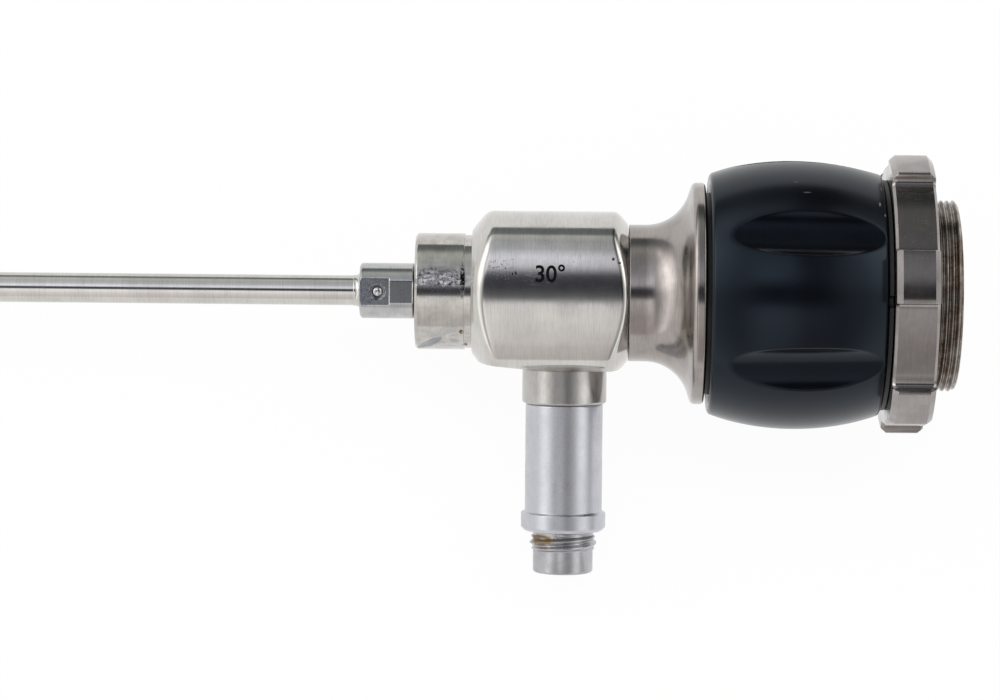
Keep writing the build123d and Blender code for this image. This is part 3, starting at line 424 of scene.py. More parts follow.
# A lighter steel for the nut's bevels: a painted highlight along its edges
STEEL_EDGE_HIGHLIGHT = steel("edge_highlight_steel", (0.66, 0.625, 0.59), (0.52, 0.485, 0.455), 0.12)
STEEL_MOUNT = steel("mount_steel", (0.36, 0.335, 0.31), (0.17, 0.13, 0.10), 0.22, blotch=0.5)
BLACK_RING = anodised(
    "ring_anodised", (0.0010, 0.0012, 0.0020), 0.20, (0.60, 0.78, 1.0), 0.34, marks=RING_MARKS
)
BLACK_BARREL = anodised("barrel_anodised", (0.010, 0.010, 0.011), 0.45, (1.0, 1.0, 1.0))
BRASS = steel("inner_brass", (0.60, 0.46, 0.24), (0.48, 0.37, 0.19), 0.30)
LENS = glass("lens_glass", (0.93, 0.97, 0.96))
FIBRE = anodised("fibre_glass", (0.55, 0.52, 0.44), 0.25, (1.0, 1.0, 1.0))
RUBBER = anodised("seal_rubber", (0.018, 0.018, 0.018), 0.60, (1.0, 1.0, 1.0))
MARK_BLACK = anodised("mark_black", (0.0025, 0.0025, 0.0028), 0.75, (1.0, 1.0, 1.0), 0.08)
PLASTIC = anodised("slip_plastic", (0.72, 0.71, 0.67), 0.45, (1.0, 1.0, 1.0))

SLOT_MATERIAL = {
    "instrument_steel": STEEL_BODY,
    "collar_steel": STEEL_COLLAR,
    "hub_steel": STEEL_HUB,
    "post_steel": STEEL_POST,
    "neck_steel": STEEL_NECK,
    "nut_steel": STEEL_NUT,
    "mount_steel": STEEL_MOUNT,
    "ring_anodised": BLACK_RING,
    "barrel_anodised": BLACK_BARREL,
    "inner_brass": BRASS,
    "lens_glass": LENS,
    "fibre_glass": FIBRE,
    "seal_rubber": RUBBER,
    "slip_plastic": PLASTIC,
}


def dress_nodes():
    """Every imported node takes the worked-up material of its slot."""
    for part in frame["record"]["subparts"]:
        mesh = frame["nodes"][part["node"]].data
        mesh.materials.clear()
        mesh.materials.append(SLOT_MATERIAL[part["material_slot"]])


# Turned pieces

def make_hub():
    """The hub with its two stepped flats and the small sunk pocket over the pin."""
    flat_r = 3.2
    step_r = 3.35
    pin_x = HUB.x0 + PIN_SETBACK
    step_x = HUB.x0 + 4.0
    rear_x = COLLAR.x0 - 0.15
    radius = 3.7
    edge = 0.25
    crease = 0.05
    pocket_r = 1.05
    pocket_depth = 0.4
    xs = steps(HUB.x0, rear_x, 110)
    loops = []
    for i in range(360):
        a = math.radians(i)
        facing = abs(math.cos(a))
        loop = []
        for x in xs:
            r = radius - max(0.0, edge - (x - HUB.x0)) - max(0.0, edge - (rear_x - x))
            flat = flat_r if x < step_x else step_r
            if x < rear_x - edge and facing > 0.5:
                r = smooth_min(r, flat / facing, crease)
            off = math.hypot(x - pin_x, r * math.sin(a))
            if off < pocket_r and math.cos(a) > 0:
                r -= pocket_depth * math.sqrt(1 - (off / pocket_r) ** 2)
            loop.append(about_axis(i, x, r))
        loop.append(about_axis(i, rear_x, ROOT_BORE))
        loop.append(about_axis(i, HUB.x0, ROOT_BORE))
        loops.append(loop)
    obj = outward(ring_mesh("hub_body", loops))
    obj.data.materials.append(STEEL_HUB)
    return finish_piece(obj, "scope", "hub_steel", "sheath_hub")


def make_hub_pin():
    """The round pin in the hub's pocket, with a polished, domed head."""
    pin = Extent("hub_pin")
    ys = [(TO_LOCAL @ v.co).y for v in frame["nodes"]["hub_pin"].data.vertices]
    front, back = min(ys), max(ys)
    radius = pin.width_r
    dome = 0.30
    middle_r = 0.02
    count = 48
    profile = [(back, middle_r), (back, radius)]
    for t in steps(0, math.pi / 2, 9):
        profile.append((front + dome * (1 - math.sin(t)), max(middle_r, radius * math.cos(t))))
    loops = []
    for i in range(count):
        a = 2 * math.pi * i / count
        loops.append([(pin.x_mid + r * math.cos(a), y, r * math.sin(a)) for y, r in profile])
    obj = outward(ring_mesh("hub_pin_head", loops))
    obj.data.materials.append(STEEL_PIN)
    return finish_piece(obj, "scope", "instrument_steel", "hub_pin")


def make_tube_fillet():
    """The braze fillet between the tube and the hub's front."""
    length = 0.9
    foot_r = 2.06
    rise = 0.36
    x0 = HUB.x0 - length
    curve = [(x0 + length * t, foot_r + rise * t * t * t) for t in steps(0, 1, 8)]
    obj = lathe("tube_fillet_ring", curve + [(HUB.x0, ROOT_BORE), (x0, ROOT_BORE)], segments=96)
    obj.data.materials.append(STEEL_BODY)
    return finish_piece(obj, "scope", "instrument_steel", "tube_fillet")


def ramp_floor(x, angle, r, centre_angle):
    """The radius of the oblique cut that locks a sheath, or None outside it."""
    t = math.radians((angle - centre_angle + 180) % 360 - 180)
    reach = math.radians(40)
    if abs(t) > reach:
        return None
    slope = math.radians(40.0)
    setback = 1.8
    depth = 0.3
    cutter_r = 1.2
    centre_r = r - depth + cutter_r
    across = (x - COLLAR.x0 - setback) * math.cos(slope) - r * math.sin(t) * math.sin(slope)
    if abs(across) >= cutter_r:
        return None
    return (centre_r - math.sqrt(cutter_r**2 - across**2)) / math.cos(t)


def make_collar():
    """The lock collar with its end groove and the two oblique ramps."""
    rear = HOUSING.x0
    groove_x = rear - 1.0
    groove_depth = 0.2
    chamfer = 0.3
    crease = 0.04
    ramp_angles = (-62.0, 118.0)
    body_r = COLLAR.r
    xs = sorted(steps(COLLAR.x0, rear, 84) + [groove_x - 0.02, groove_x + 0.02])
    loops = []
    for i in range(360):
        loop = []
        for x in xs:
            r = body_r - max(0.0, chamfer - (x - COLLAR.x0))
            if x > groove_x:
                r = body_r - groove_depth
            for centre in ramp_angles:
                floor = ramp_floor(x, i, body_r, centre)
                if floor is not None:
                    r = smooth_min(r, floor, crease)
            loop.append(about_axis(i, x, r))
        loop.append(about_axis(i, rear, ROOT_BORE))
        loop.append(about_axis(i, COLLAR.x0, ROOT_BORE))
        loops.append(loop)
    obj = outward(ring_mesh("collar_body", loops))
    obj.data.materials.append(STEEL_COLLAR)
    obj.data.materials.append(STEEL_RAMP_SHADE)
    # Faces below the body's skin, behind the chamfer and in front of the groove, are the ramps'; their darker
    # steel is painted shade on the cut faces
    inner_r = 5.0
    outer_r = body_r - 0.08
    for face in obj.data.polygons:
        centre = TO_LOCAL @ face.center
        sunk = inner_r < math.hypot(centre.y, centre.z) < outer_r
        if sunk and COLLAR.x0 < centre.x < groove_x - 0.1:
            face.material_index = centre.x > COLLAR.x0 + 0.35
    return finish_piece(obj, "scope", "collar_steel", "lock_collar")


def housing_radius(x, angle):
    """The housing's skin: a flattened bar, coned at both ends, with a flat belly."""
    bar_r = 11.3
    set_down = 0.5
    top = bar_r - set_down
    front_drop, front_length = 2.5, 1.95
    rear_drop, rear_length = 1.6, 1.4
    belly_front, belly_rise, belly_length = 9.2, 0.95, 9.4
    belly = 10.15
    a = math.radians(angle)
    c = abs(math.cos(a))
    s = math.sin(a)
    bar = -set_down * s + math.sqrt(bar_r**2 - (set_down * c) ** 2)
    side = -SIDE_CENTRE * c + math.sqrt(SIDE_R**2 - (SIDE_CENTRE * s) ** 2)
    r = smooth_min(bar, side, 0.9)
    front = top - front_drop + (x - HOUSING.x0) * front_drop / front_length
    rear = top - rear_drop + (HOUSING.x1 - x) * rear_drop / rear_length
    r = smooth_min(r, front, 1.1)
    r = smooth_min(r, rear, 0.6)
    if s < -0.4:
        drop = min(belly, belly_front + (x - HOUSING.x0) * belly_rise / belly_length)
        r = smooth_min(r, drop / -s, 0.12)
    return r


def make_housing():
    """The housing, open through its middle for the pieces inside."""
    wall_x = HOUSING.x0 + 2.9
    front_bore = 5.02
    inside = [
        (HOUSING.x1, JOURNAL_SEAT_R), (wall_x, JOURNAL_SEAT_R),
        (wall_x, front_bore), (HOUSING.x0, front_bore),
    ]
    xs = eased(HOUSING.x0, HOUSING.x1, 96)
    loops = []
    for i in range(360):
        loop = [about_axis(i, x, housing_radius(x, i)) for x in xs]
        loops.append(loop + [about_axis(i, x, r) for x, r in inside])
    obj = outward(ring_mesh("housing_body", loops))
    obj.data.materials.append(STEEL_BODY)
    return finish_piece(obj, "scope", "instrument_steel", "scope_housing")


def make_angle_mark():
    """The number of the view angle, filled with black, laid on the housing's curved side."""
    width_mm = 3.85
    height_mm = 2.35
    left_mm = -12.15
    foot_mm = 1.80
    proud = 0.015
    sunk_in = 0.03
    bolder = 0.018
    font = bpy.data.curves.new("angle_mark", "FONT")
    font.body = "30\u00b0"
    font.resolution_u = 6
    font.offset = bolder
    text = bpy.data.objects.new("angle_text", font)
    bpy.context.scene.collection.objects.link(text)
    bpy.context.view_layer.update()
    mesh = bpy.data.meshes.new_from_object(text)
    bpy.data.objects.remove(text)
    bpy.data.curves.remove(font)
    across = [v.co.x for v in mesh.vertices]
    height = [v.co.y for v in mesh.vertices]
    form = bmesh.new()
    form.from_mesh(mesh)
    for v in form.verts:
        x = left_mm + width_mm * (v.co.x - min(across)) / (max(across) - min(across))
        z = foot_mm + height_mm * (v.co.y - min(height)) / (max(height) - min(height))
        v.co = (x, 0, z)
    # Cut in level strips, so that the faces can bend with the housing's side
    for z in steps(foot_mm, foot_mm + height_mm, 10)[1:-1]:
        every = form.verts[:] + form.edges[:] + form.faces[:]
        bmesh.ops.bisect_plane(form, geom=every, plane_co=(0, 0, z), plane_no=(0, 0, 1), dist=1e-5)
    bmesh.ops.remove_doubles(form, verts=form.verts[:], dist=1e-4)
    form.verts.index_update()
    flat = [[v.index for v in face.verts] for face in form.faces]
    places = [v.co.copy() for v in form.verts]
    form.free()
    bpy.data.meshes.remove(mesh)
    # A raised skin, one sunk in the steel, and walls along the edges that one face alone has
    verts = []
    for out in (proud, -sunk_in):
        for place in places:
            side = -(math.sqrt(SIDE_R**2 - place.z**2) - SIDE_CENTRE)
            verts.append(TO_WORLD @ Vector((place.x, side - out, place.z)))
    far = len(places)
    edges = [pair for face in flat for pair in zip(face, face[1:] + face[:1])]
    shared = set(edges)
    walls = [(b, a, far + a, far + b) for a, b in edges if (b, a) not in shared]
    sunk = [[far + i for i in reversed(face)] for face in flat]
    mesh = bpy.data.meshes.new("angle_mark")
    mesh.from_pydata(verts, [], flat + sunk + walls)
    mesh.materials.append(MARK_BLACK)
    obj = bpy.data.objects.new("angle_mark", mesh)
    bpy.context.scene.collection.objects.link(obj)
    outward(obj)
    return finish_piece(obj, "scope", "seal_rubber")


def make_post():
    """The light post's collar and outer sleeve, with broken edges."""
    top = -POST_COLLAR.z1
    end = -POST_COLLAR.z0
    edge = 0.2
    collar_r = 5.62
    sleeve_r = 5.15
    flange_r = 5.65
    flange_edge = 0.5
    flange_width = 1.9
    collar = lathe(
        "post_collar_body",
        [
            (top, POST_BORE), (top, collar_r), (end - edge, collar_r),
            (end, collar_r - edge), (end, POST_BORE),
        ],
        about_post,
    )
    collar.data.materials.append(STEEL_POST_COLLAR)
    finish_piece(soften(collar, 0.12), "scope", "collar_steel", "post_collar")
    start = -SLEEVE.z1
    stop = -SLEEVE.z0
    flange = stop - flange_edge
    sleeve = lathe(
        "post_sleeve_body",
        [
            (start, POST_BORE), (start, sleeve_r - edge), (start + edge, sleeve_r),
            (flange - flange_width - edge, sleeve_r), (flange - flange_width, flange_r),
            (flange, flange_r), (stop, flange_r - flange_edge), (stop, POST_BORE),
        ],
        about_post,
    )
    sleeve.data.materials.append(STEEL_POST)
    finish_piece(soften(sleeve, 0.10), "scope", "post_steel", "post_sleeve")


def thread_radius(crest_r, depth, pitch, place, angle, flat=0.12):
    """A vee thread's radius at a place along its axis, with a narrow flat on each crest."""
    phase = (place / pitch - angle / 360.0) % 1.0
    dip = 1 - abs(2 * phase - 1)
    return crest_r - depth * max(0.0, dip - flat) / (1 - flat)


def make_post_core():
    """The post's core with its steep two-start thread and the rounded tip."""
    top = -CORE.z1
    tip = -CORE.z0
    thread_top = 32.4
    thread_end = 34.5
    run_out = 0.35
    crest_r = CORE.width_r
    root_r = 4.0
    spacing = 1.0
    starts = 2
    tip_edge = 0.4
    ferrule_r = 3.22
    ferrule_top = tip - 7.0
    bundle_r = 2.32
    count = 160
    loops = []
    for i in range(count):
        angle = 360 * i / count
        loop = [(top, crest_r), (SLEEVE_END, crest_r), (SLEEVE_END, root_r)]
        for depth in steps(thread_top, thread_end, 34):
            fade = min(1.0, (depth - thread_top) / run_out, (thread_end - depth) / run_out)
            crest = thread_radius(crest_r, crest_r - root_r, spacing, depth, -starts * angle)
            loop.append((depth, root_r + (crest - root_r) * max(0.0, fade)))
        for t in steps(0, math.pi / 2, 7):
            depth = tip - tip_edge + tip_edge * math.sin(t)
            loop.append((depth, root_r - tip_edge + tip_edge * math.cos(t)))
        loop += [
            (tip, ferrule_r), (ferrule_top, ferrule_r), (ferrule_top, bundle_r), (top, bundle_r),
        ]
        loops.append([about_post(angle, d, r) for d, r in loop])
    obj = outward(ring_mesh("post_core_body", loops))
    obj.data.materials.append(STEEL_CORE)
    return finish_piece(obj, "scope", "mount_steel", "post_core")


def make_neck():
    """The neck and its concave flare, up to the rounded lip."""
    neck_r = 9.1
    flare_x = 2.35
    flare_r = 6.0
    turn = math.radians(72.0)
    lip_r = NECK.r
    lip_edge = 0.7
    rear_edge = 0.45
    barrel_r = 12.02
    barrel_x = NECK.x1 - 1.6
    nose_r = 8.6
    nose_x = 5.9
    journal_r = 6.55
    seat_x = 0.55
    curve = [
        (flare_x + flare_r * math.sin(t), neck_r + flare_r * (1 - math.cos(t)))
        for t in steps(0, turn, 28)
    ]
    # The front edge's arc runs from the flare's end slope over to the lip's cylinder
    crest_x = curve[-1][0] + (lip_r - curve[-1][1]) / math.tan(turn)
    setback = lip_edge * math.tan(turn / 2)
    centre = (crest_x + setback, lip_r - lip_edge)
    lip = [
        (centre[0] - lip_edge * math.sin(t), centre[1] + lip_edge * math.cos(t))
        for t in steps(turn, 0, 8)
    ]
    rear = [
        (NECK.x1 - rear_edge + rear_edge * math.sin(t), lip_r - rear_edge + rear_edge * math.cos(t))
        for t in steps(0, math.pi / 2, 6)
    ]
    inside = [
        (NECK.x1, barrel_r), (barrel_x, barrel_r), (barrel_x, nose_r), (nose_x, nose_r),
        (nose_x, journal_r), (seat_x, journal_r), (seat_x, JOURNAL_SEAT_R),
        (NECK.x0, JOURNAL_SEAT_R),
    ]
    # A small round at the front, then loops enough to keep the cylinder's shading straight
    front = [(NECK.x0, neck_r - 0.12), (NECK.x0 + 0.10, neck_r - 0.02), (NECK.x0 + 0.15, neck_r)]
    front += [(x, neck_r) for x in steps(NECK.x0 + 0.2, flare_x - 0.05, 6)]
    band = [(x, lip_r) for x in steps(lip[-1][0] + 0.05, rear[0][0] - 0.05, 3)]
    obj = lathe("neck_body", front + curve + lip + band + rear + inside, segments=240)
    obj.data.materials.append(STEEL_NECK)
    return finish_piece(obj, "coupler", "neck_steel", "neck_funnel")


def ring_arc(x):
    """The barrel curve of the focus ring, from its two end radii and its widest one."""
    half = (RING.x1 - RING.x0) / 2
    end_r = 15.95
    rise = RING.r - end_r
    arc_r = (half**2 + rise**2) / (2 * rise)
    return RING.r - arc_r + math.sqrt(arc_r**2 - (x - RING.x_mid) ** 2)


def scallop_radius(x, angle):
    """The floor of the nearest grip scallop, or None away from it."""
    # The scallops stand 60 degrees apart, the first 30 degrees above the viewed side
    t = math.radians(angle % 60.0 - 30.0)
    cutter_r = 4.94
    depth = 1.55
    tilt = math.radians(2.0)
    height = RING.r - depth + cutter_r - (x - RING.x_mid) * math.tan(tilt)
    side = height * math.sin(t)
    if abs(side) >= cutter_r:
        return None
    return height * math.cos(t) - math.sqrt(cutter_r**2 - side**2)


def make_focus_ring():
    """The grip ring: a barrel curve, six scallops and small rounded ends."""
    edge = 0.45
    bore = 13.45
    crease = 0.10
    count = 720
    xs = eased(RING.x0, RING.x1, 92)
    loops = []
    for i in range(count):
        angle = 360 * i / count
        loop = []
        for x in xs:
            inset = max(0.0, edge - min(x - RING.x0, RING.x1 - x))
            r = ring_arc(x) - (edge - math.sqrt(max(0.0, edge**2 - inset**2)))
            floor = scallop_radius(x, angle)
            if floor is not None:
                r = smooth_min(r, floor, crease)
            loop.append(about_axis(angle, x, r))
        loop.append(about_axis(angle, RING.x1, bore))
        loop.append(about_axis(angle, RING.x0, bore))
        loops.append(loop)
    obj = outward(ring_mesh("focus_grip", loops))
    obj.data.materials.append(BLACK_RING)
    return finish_piece(obj, "ring", "ring_anodised", "focus_ring")


def nut_outline():
    """The nut's (angle, radius) outline: lobes with rounded corners and filleted roots."""
    top_r = NUT.r
    root_r = top_r - 1.6
    half = 10.8
    first = 10.7
    root_fillet = 0.9
    corner = 0.3
    side = []
    for t in steps(0, math.pi / 2, 7):
        side.append((root_fillet * (1 - math.sin(t)), root_r + root_fillet * (1 - math.cos(t))))
    for t in steps(0, math.pi / 2, 5):
        side.append((-corner * (1 - math.cos(t)), top_r - corner + corner * math.sin(t)))
    rising = [(-(half + math.degrees(off / r)), r) for off, r in side]
    falling = [(-a, r) for a, r in reversed(rising)]
    crown = [(a, top_r) for a in steps(rising[-1][0], falling[0][0], 14)[1:-1]]
    root = [(a, root_r) for a in steps(falling[-1][0], 60 + rising[0][0], 16)[1:-1]]
    lobe = rising + crown + falling + root
    return [(first + 60 * k + a, r) for k in range(6) for a, r in lobe]


def make_nut():
    """The lobed lock nut, with broad bevels on the lobes and narrow ones between them."""
    big = 0.75
    small = 0.35
    bore = 12.75
    bore_edge = 0.4
    inner = [
        (NUT.x1, bore + bore_edge), (NUT.x1 - bore_edge, bore),
        (NUT.x0 + bore_edge, bore), (NUT.x0, bore + bore_edge),
    ]
    loops = []
    for angle, r in nut_outline():
        loop = []
        for from_end in (0.0, small, big):
            cut = min(r - max(0.0, small - from_end), NUT.r - max(0.0, big - from_end))
            loop.append((from_end, cut))
        outer = [(NUT.x0 + d, c) for d, c in loop] + [(NUT.x1 - d, c) for d, c in reversed(loop)]
        loops.append([about_axis(angle, x, c) for x, c in outer + inner])
    obj = outward(ring_mesh("nut_body", loops))
    obj.data.materials.append(STEEL_NUT)
    obj.data.materials.append(STEEL_EDGE_HIGHLIGHT)
    # The bevels take the lighter edge steel, a painted highlight
    return finish_piece(soften(obj, 0.10, 24.0, bevel_slot=1), "nut", "nut_steel", "lock_nut")


def make_mount_thread():
    """The camera thread: 32 turns to the inch, with a plain relief behind the nut."""
    pitch = 25.4 / 32
    depth = 0.45
    lead = 0.35
    start = NUT.x0 - 0.7
    crest_r = 12.7
    relief = (NUT.x1 - 0.2, NUT.x1 + 0.65)
    skirt_r = 12.18
    sleeve_bore = 11.0
    window_x = MOUNT.x1 - 5.2
    shelf_x = window_x - 1.2
    inside = [
        (MOUNT.x1, 10.62), (window_x, 10.62), (window_x, 9.2), (shelf_x, 9.2),
        (shelf_x, sleeve_bore), (MOUNT.x0, sleeve_bore),
    ]
    row_width = 0.075
    rows = int((MOUNT.x1 - start) / row_width)
    count = 200
    loops = []
    for i in range(count):
        angle = 360 * i / count
        loop = [(MOUNT.x0, skirt_r), (start, skirt_r)]
        for x in steps(start, MOUNT.x1, rows):
            r = thread_radius(crest_r, depth, pitch, x, angle)
            if relief[0] < x < relief[1]:
                r = crest_r - depth
            loop.append((x, min(r, crest_r - max(0.0, lead - (MOUNT.x1 - x)))))
        loops.append([about_axis(angle, x, r) for x, r in loop + inside])
    obj = outward(ring_mesh("mount_thread", loops))
    obj.data.materials.append(STEEL_MOUNT)
    return finish_piece(obj, "coupler", "mount_steel", "mount_sleeve")


# Stage, camera and light

CAMERA_DISTANCE = 470.0
CAMERA_LIFT_DEG = 3.2
CAMERA_FOOT_X = -7.75
FOCAL_PX = 3525.0
FRAME_PX = (1000, 700)
FOOT_PX = (569.0, 292.3)
AXIS_SLOPE_DEG = 0.54
SENSOR_MM = 36.0


def make_camera():
    """The camera stands where the photograph's stood: the foot of its perpendicular on the
    optical axis falls on FOOT_PX, and the axis runs down to the right by a small slope."""
    lift = math.radians(CAMERA_LIFT_DEG)
    foot = Vector((CAMERA_FOOT_X, 0, 0))
    forward = Vector((0, math.cos(lift), -math.sin(lift)))
    place = foot - forward * CAMERA_DISTANCE
    along = Vector((1, 0, 0))
    right_px = FOOT_PX[0] - FRAME_PX[0] / 2
    up_px = FRAME_PX[1] / 2 - FOOT_PX[1]
    seen = Vector((right_px, up_px, -FOCAL_PX)).normalized()
    slope = math.radians(AXIS_SLOPE_DEG)
    run = Vector((math.cos(slope), -math.sin(slope), 0))
    run = (run - seen * run.dot(seen)).normalized()
    local = Matrix((along, forward, along.cross(forward))).transposed()
    view = Matrix((run, seen, run.cross(seen))).transposed()
    turn = local @ view.transposed()
    data = bpy.data.cameras.new("camera")
    data.sensor_width = SENSOR_MM
    data.lens = FOCAL_PX * SENSOR_MM / FRAME_PX[0]
    data.clip_start = 0.01
    data.clip_end = 20
    camera = bpy.data.objects.new("camera", data)
    bpy.context.scene.collection.objects.link(camera)
    world_turn = TURN.to_3x3() @ turn
    camera.matrix_world = Matrix.Translation(TO_WORLD @ place) @ world_turn.to_4x4()
    bpy.context.scene.camera = camera


def path_mask(tree, *names):
    """One where the ray is of any of the named kinds."""
    light = add(tree, "ShaderNodeLightPath")
    total = light.outputs[names[0]]
    for name in names[1:]:
        node = add(tree, "ShaderNodeMath", operation="MAXIMUM")
        tree.links.new(total, node.inputs[0])
        tree.links.new(light.outputs[name], node.inputs[1])
        total = node.outputs[0]
    return total


def make_floor():
    """A pale floor that looks nearly white and keeps the object's faint shadow."""
    size = 3.0
    whiteness = 0.96
    verts = [(-size, -size, 0), (size, -size, 0), (size, size, 0), (-size, size, 0)]
    mesh = bpy.data.meshes.new("floor")
    mesh.from_pydata(verts, [], [(0, 1, 2, 3)])
    floor = bpy.data.objects.new("floor", mesh)
    bpy.context.scene.collection.objects.link(floor)
    mat = bpy.data.materials.new("pale_floor")
    mat.use_nodes = True
    tree = mat.node_tree
    tree.nodes.clear()
    out = add(tree, "ShaderNodeOutputMaterial")
    paper = add(tree, "ShaderNodeBsdfDiffuse")
    paper.inputs["Color"].default_value = (0.82, 0.81, 0.80, 1)
    white = add(tree, "ShaderNodeEmission")
    white.inputs["Color"].default_value = (1, 1, 1, 1)
    seen = add(tree, "ShaderNodeMixShader")
    seen.inputs[0].default_value = whiteness
    tree.links.new(paper.outputs[0], seen.inputs[1])
    tree.links.new(white.outputs[0], seen.inputs[2])
    final = add(tree, "ShaderNodeMixShader")
    background = path_mask(tree, "Is Camera Ray", "Is Glossy Ray", "Is Transmission Ray")
    tree.links.new(background, final.inputs[0])
    tree.links.new(paper.outputs[0], final.inputs[1])
    tree.links.new(seen.outputs[0], final.inputs[2])
    tree.links.new(final.outputs[0], out.inputs[0])
    mesh.materials.append(mat)


# Light that arrives from round the instrument, by the angle in degrees from the
# photographer's side (0) over the top of the picture (positive) to the far side
STUDIO_BANDS = [
    (-180, (0.90, 0.91, 0.92)),
    (-75, (0.67, 0.65, 0.65)),
    (-40, (0.80, 0.76, 0.76)),
    (-16, (1.03, 1.02, 1.02)),
    (-8, (0.95, 0.95, 0.97)),
    (-5, (0.17, 0.175, 0.19)),
    (3, (0.055, 0.058, 0.074)),
    (10, (0.080, 0.083, 0.105)),
    (16, (1.12, 1.13, 1.24)),
    (24, (1.12, 1.14, 1.26)),
    (40, (0.66, 0.69, 0.75)),
    (62, (0.58, 0.60, 0.61)),
    (82, (0.68, 0.70, 0.68)),
    (93, (0.25, 0.27, 0.28)),
    (110, (0.16, 0.18, 0.19)),
    (130, (0.21, 0.23, 0.24)),
    (142, (0.98, 1.00, 1.05)),
    (180, (1.15, 1.18, 1.22)),
]
# The panels grow dimmer towards the camera end, the upper ones more than the lower ones
UPPER_GAIN = [
    (-0.16, 1.10), (-0.10, 1.05), (-0.06, 0.90), (-0.03, 0.88), (0.0, 1.0), (0.012, 0.95),
    (0.022, 0.68), (0.045, 0.50), (0.065, 0.24), (0.095, 0.20), (0.25, 0.20),
]
LOWER_GAIN = [
    (-0.16, 1.25), (-0.06, 1.15), (0.0, 0.96), (0.022, 0.95), (0.045, 0.82), (0.065, 0.64),
    (0.095, 0.60), (0.25, 0.60),
]
UPPER_SIDE = [(-180, 0.0), (-8, 0.0), (-4, 1.0), (180, 1.0)]
# Upright lights stand to the left and right, by the angle from the photographer's side
SIDE_LIGHTS = [
    (-180, 1.0), (-150, 1.0), (-122, 0.45), (-104, 0.34), (-88, 0.6), (-70, 1.3), (-58, 1.65),
    (-46, 1.15), (-28, 0.5), (-8, 0.36), (14, 0.36), (34, 0.55), (48, 1.25), (62, 1.4), (76, 0.75),
    (92, 0.3), (112, 0.25), (140, 0.85), (180, 1.0),
]
SIDE_BLEND = [(0.22, 0.0), (0.42, 1.0)]
# and are brighter above the object's height, by the upward part of the direction
SIDE_GAIN = [(-1.0, 0.9), (0.06, 1.0), (0.22, 1.6), (0.6, 1.7), (0.8, 0.9), (1.0, 0.9)]
TENT_RADIUS = 30.0


def dots(tree, vector, axes):
    """A vector's components along each of the axes."""
    outputs = []
    for axis in axes:
        dot = add(tree, "ShaderNodeVectorMath", operation="DOT_PRODUCT")
        dot.inputs[1].default_value = axis
        tree.links.new(vector, dot.inputs[0])
        outputs.append(dot.outputs["Value"])
    return outputs


def spread_from(tree, value, low, high):
    """A number, scaled from between two limits to between 0 and 1."""
    node = add(tree, "ShaderNodeMapRange")
    node.inputs["From Min"].default_value = low
    node.inputs["From Max"].default_value = high
    tree.links.new(value, node.inputs["Value"])
    return node.outputs[0]


def by_angle(tree, top, side, stops):
    """A ramp over the angle of two components, from -180 to 180 degrees."""
    angle = add(tree, "ShaderNodeMath", operation="ARCTAN2")
    tree.links.new(top, angle.inputs[0])
    tree.links.new(side, angle.inputs[1])
    fac = spread_from(tree, angle.outputs[0], -math.pi, math.pi)
    return ramp(tree, fac, [((a + 180) / 360, value) for a, value in stops])


def scaled(tree, value, stops):
    """A ramp over a number, from the first stop's place to the last one's."""
    low, high = stops[0][0], stops[-1][0]
    fac = spread_from(tree, value, low, high)
    return ramp(tree, fac, [((a - low) / (high - low), v) for a, v in stops])


def make_world():
    """A white room behind everything."""
    world = bpy.data.worlds.new("studio")
    bpy.context.scene.world = world
    world.use_nodes = True
    white = world.node_tree.nodes["Background"]
    white.inputs["Color"].default_value = (1, 1, 1, 1)
    white.inputs["Strength"].default_value = 1.0


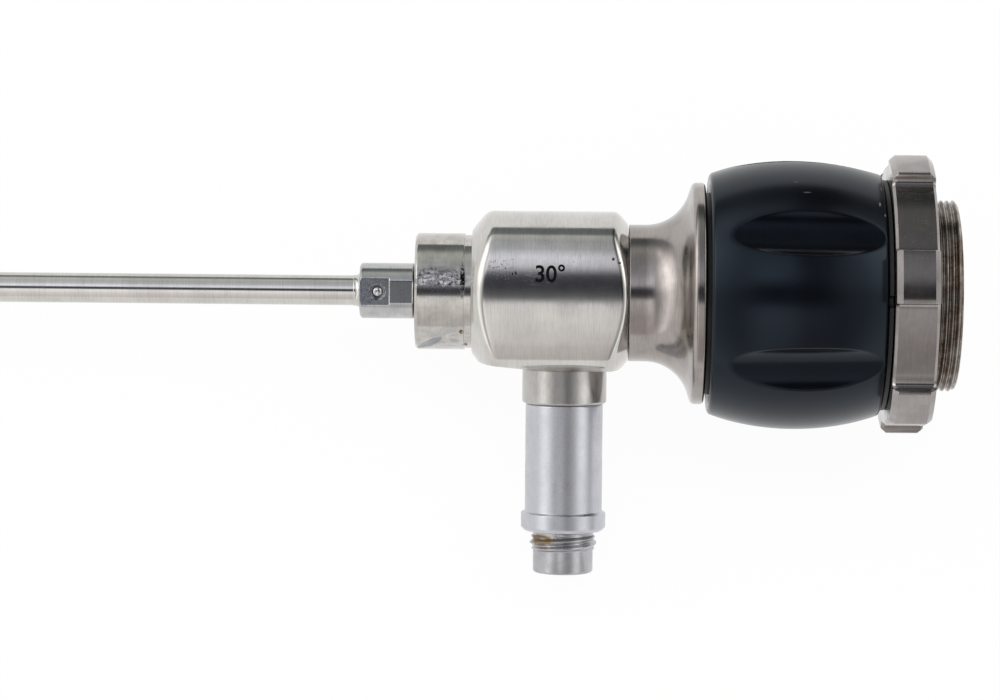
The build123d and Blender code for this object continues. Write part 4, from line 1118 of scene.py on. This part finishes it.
def make_tent():
    """The photographer's light tent: soft panels all round, far away, out of the picture."""
    rows, columns = 24, 48
    verts = [(0, 0, TENT_RADIUS), (0, 0, -TENT_RADIUS)]
    for i in range(1, rows):
        down = math.pi * i / rows
        side = TENT_RADIUS * math.sin(down)
        height = TENT_RADIUS * math.cos(down)
        for j in range(columns):
            round_z = 2 * math.pi * j / columns
            verts.append((side * math.cos(round_z), side * math.sin(round_z), height))
    poles = 2
    last = poles + (rows - 2) * columns
    faces = []
    for j in range(columns):
        k = (j + 1) % columns
        faces.append((0, poles + k, poles + j))
        faces.append((1, last + j, last + k))
        for i in range(rows - 2):
            row = poles + i * columns
            faces.append((row + j, row + k, row + columns + k, row + columns + j))
    mesh = bpy.data.meshes.new("light_tent")
    mesh.from_pydata(verts, [], faces)
    tent = bpy.data.objects.new("light_tent", mesh)
    bpy.context.scene.collection.objects.link(tent)
    tent.visible_camera = False
    tent.visible_transmission = False
    mat = bpy.data.materials.new("tent_panels")
    mat.use_nodes = True
    mat.cycles.emission_sampling = "NONE"
    tree = mat.node_tree
    tree.nodes.clear()
    out = add(tree, "ShaderNodeOutputMaterial")
    coord = add(tree, "ShaderNodeTexCoord")
    way = add(tree, "ShaderNodeVectorMath", operation="NORMALIZE")
    tree.links.new(coord.outputs["Object"], way.inputs[0])
    along, near, up = dots(tree, way.outputs[0], (X_AXIS, -Y_AXIS, Z_AXIS))
    bands = by_angle(tree, up, near, STUDIO_BANDS)
    upper = by_angle(tree, up, near, UPPER_SIDE)
    gain = mix(tree, upper, scaled(tree, along, LOWER_GAIN), scaled(tree, along, UPPER_GAIN))
    bands = mix(tree, 1.0, bands, gain, "MULTIPLY")
    sides = by_angle(tree, along, near, SIDE_LIGHTS)
    sides = mix(tree, 1.0, sides, scaled(tree, up, SIDE_GAIN), "MULTIPLY")
    reach = add(tree, "ShaderNodeMath", operation="ABSOLUTE")
    tree.links.new(along, reach.inputs[0])
    glow = add(tree, "ShaderNodeEmission")
    blend = scaled(tree, reach.outputs[0], SIDE_BLEND)
    tree.links.new(mix(tree, blend, bands, sides), glow.inputs["Color"])
    tree.links.new(glow.outputs[0], out.inputs[0])
    mesh.materials.append(mat)


def make_lamp():
    """One large soft panel above, for the faint shadow under the object."""
    data = bpy.data.lights.new("panel", "AREA")
    data.shape = "RECTANGLE"
    data.size = 0.9
    data.size_y = 0.5
    data.energy = 3.0
    lamp = bpy.data.objects.new("panel", data)
    bpy.context.scene.collection.objects.link(lamp)
    lamp.location = (0.1, 0.25, 0.8)
    aim = Vector((0.05, 0, 0)) - Vector(lamp.location)
    lamp.rotation_euler = aim.to_track_quat("-Z", "Y").to_euler()
    lamp.visible_glossy = False


dress_nodes()
make_tube_fillet()
make_hub()
make_hub_pin()
make_collar()
make_housing()
make_angle_mark()
make_post()
make_post_core()
make_neck()
make_focus_ring()
make_nut()
make_mount_thread()
make_floor()
make_world()
make_tent()
make_lamp()
make_camera()

view = bpy.context.scene.view_settings
view.view_transform = "Standard"
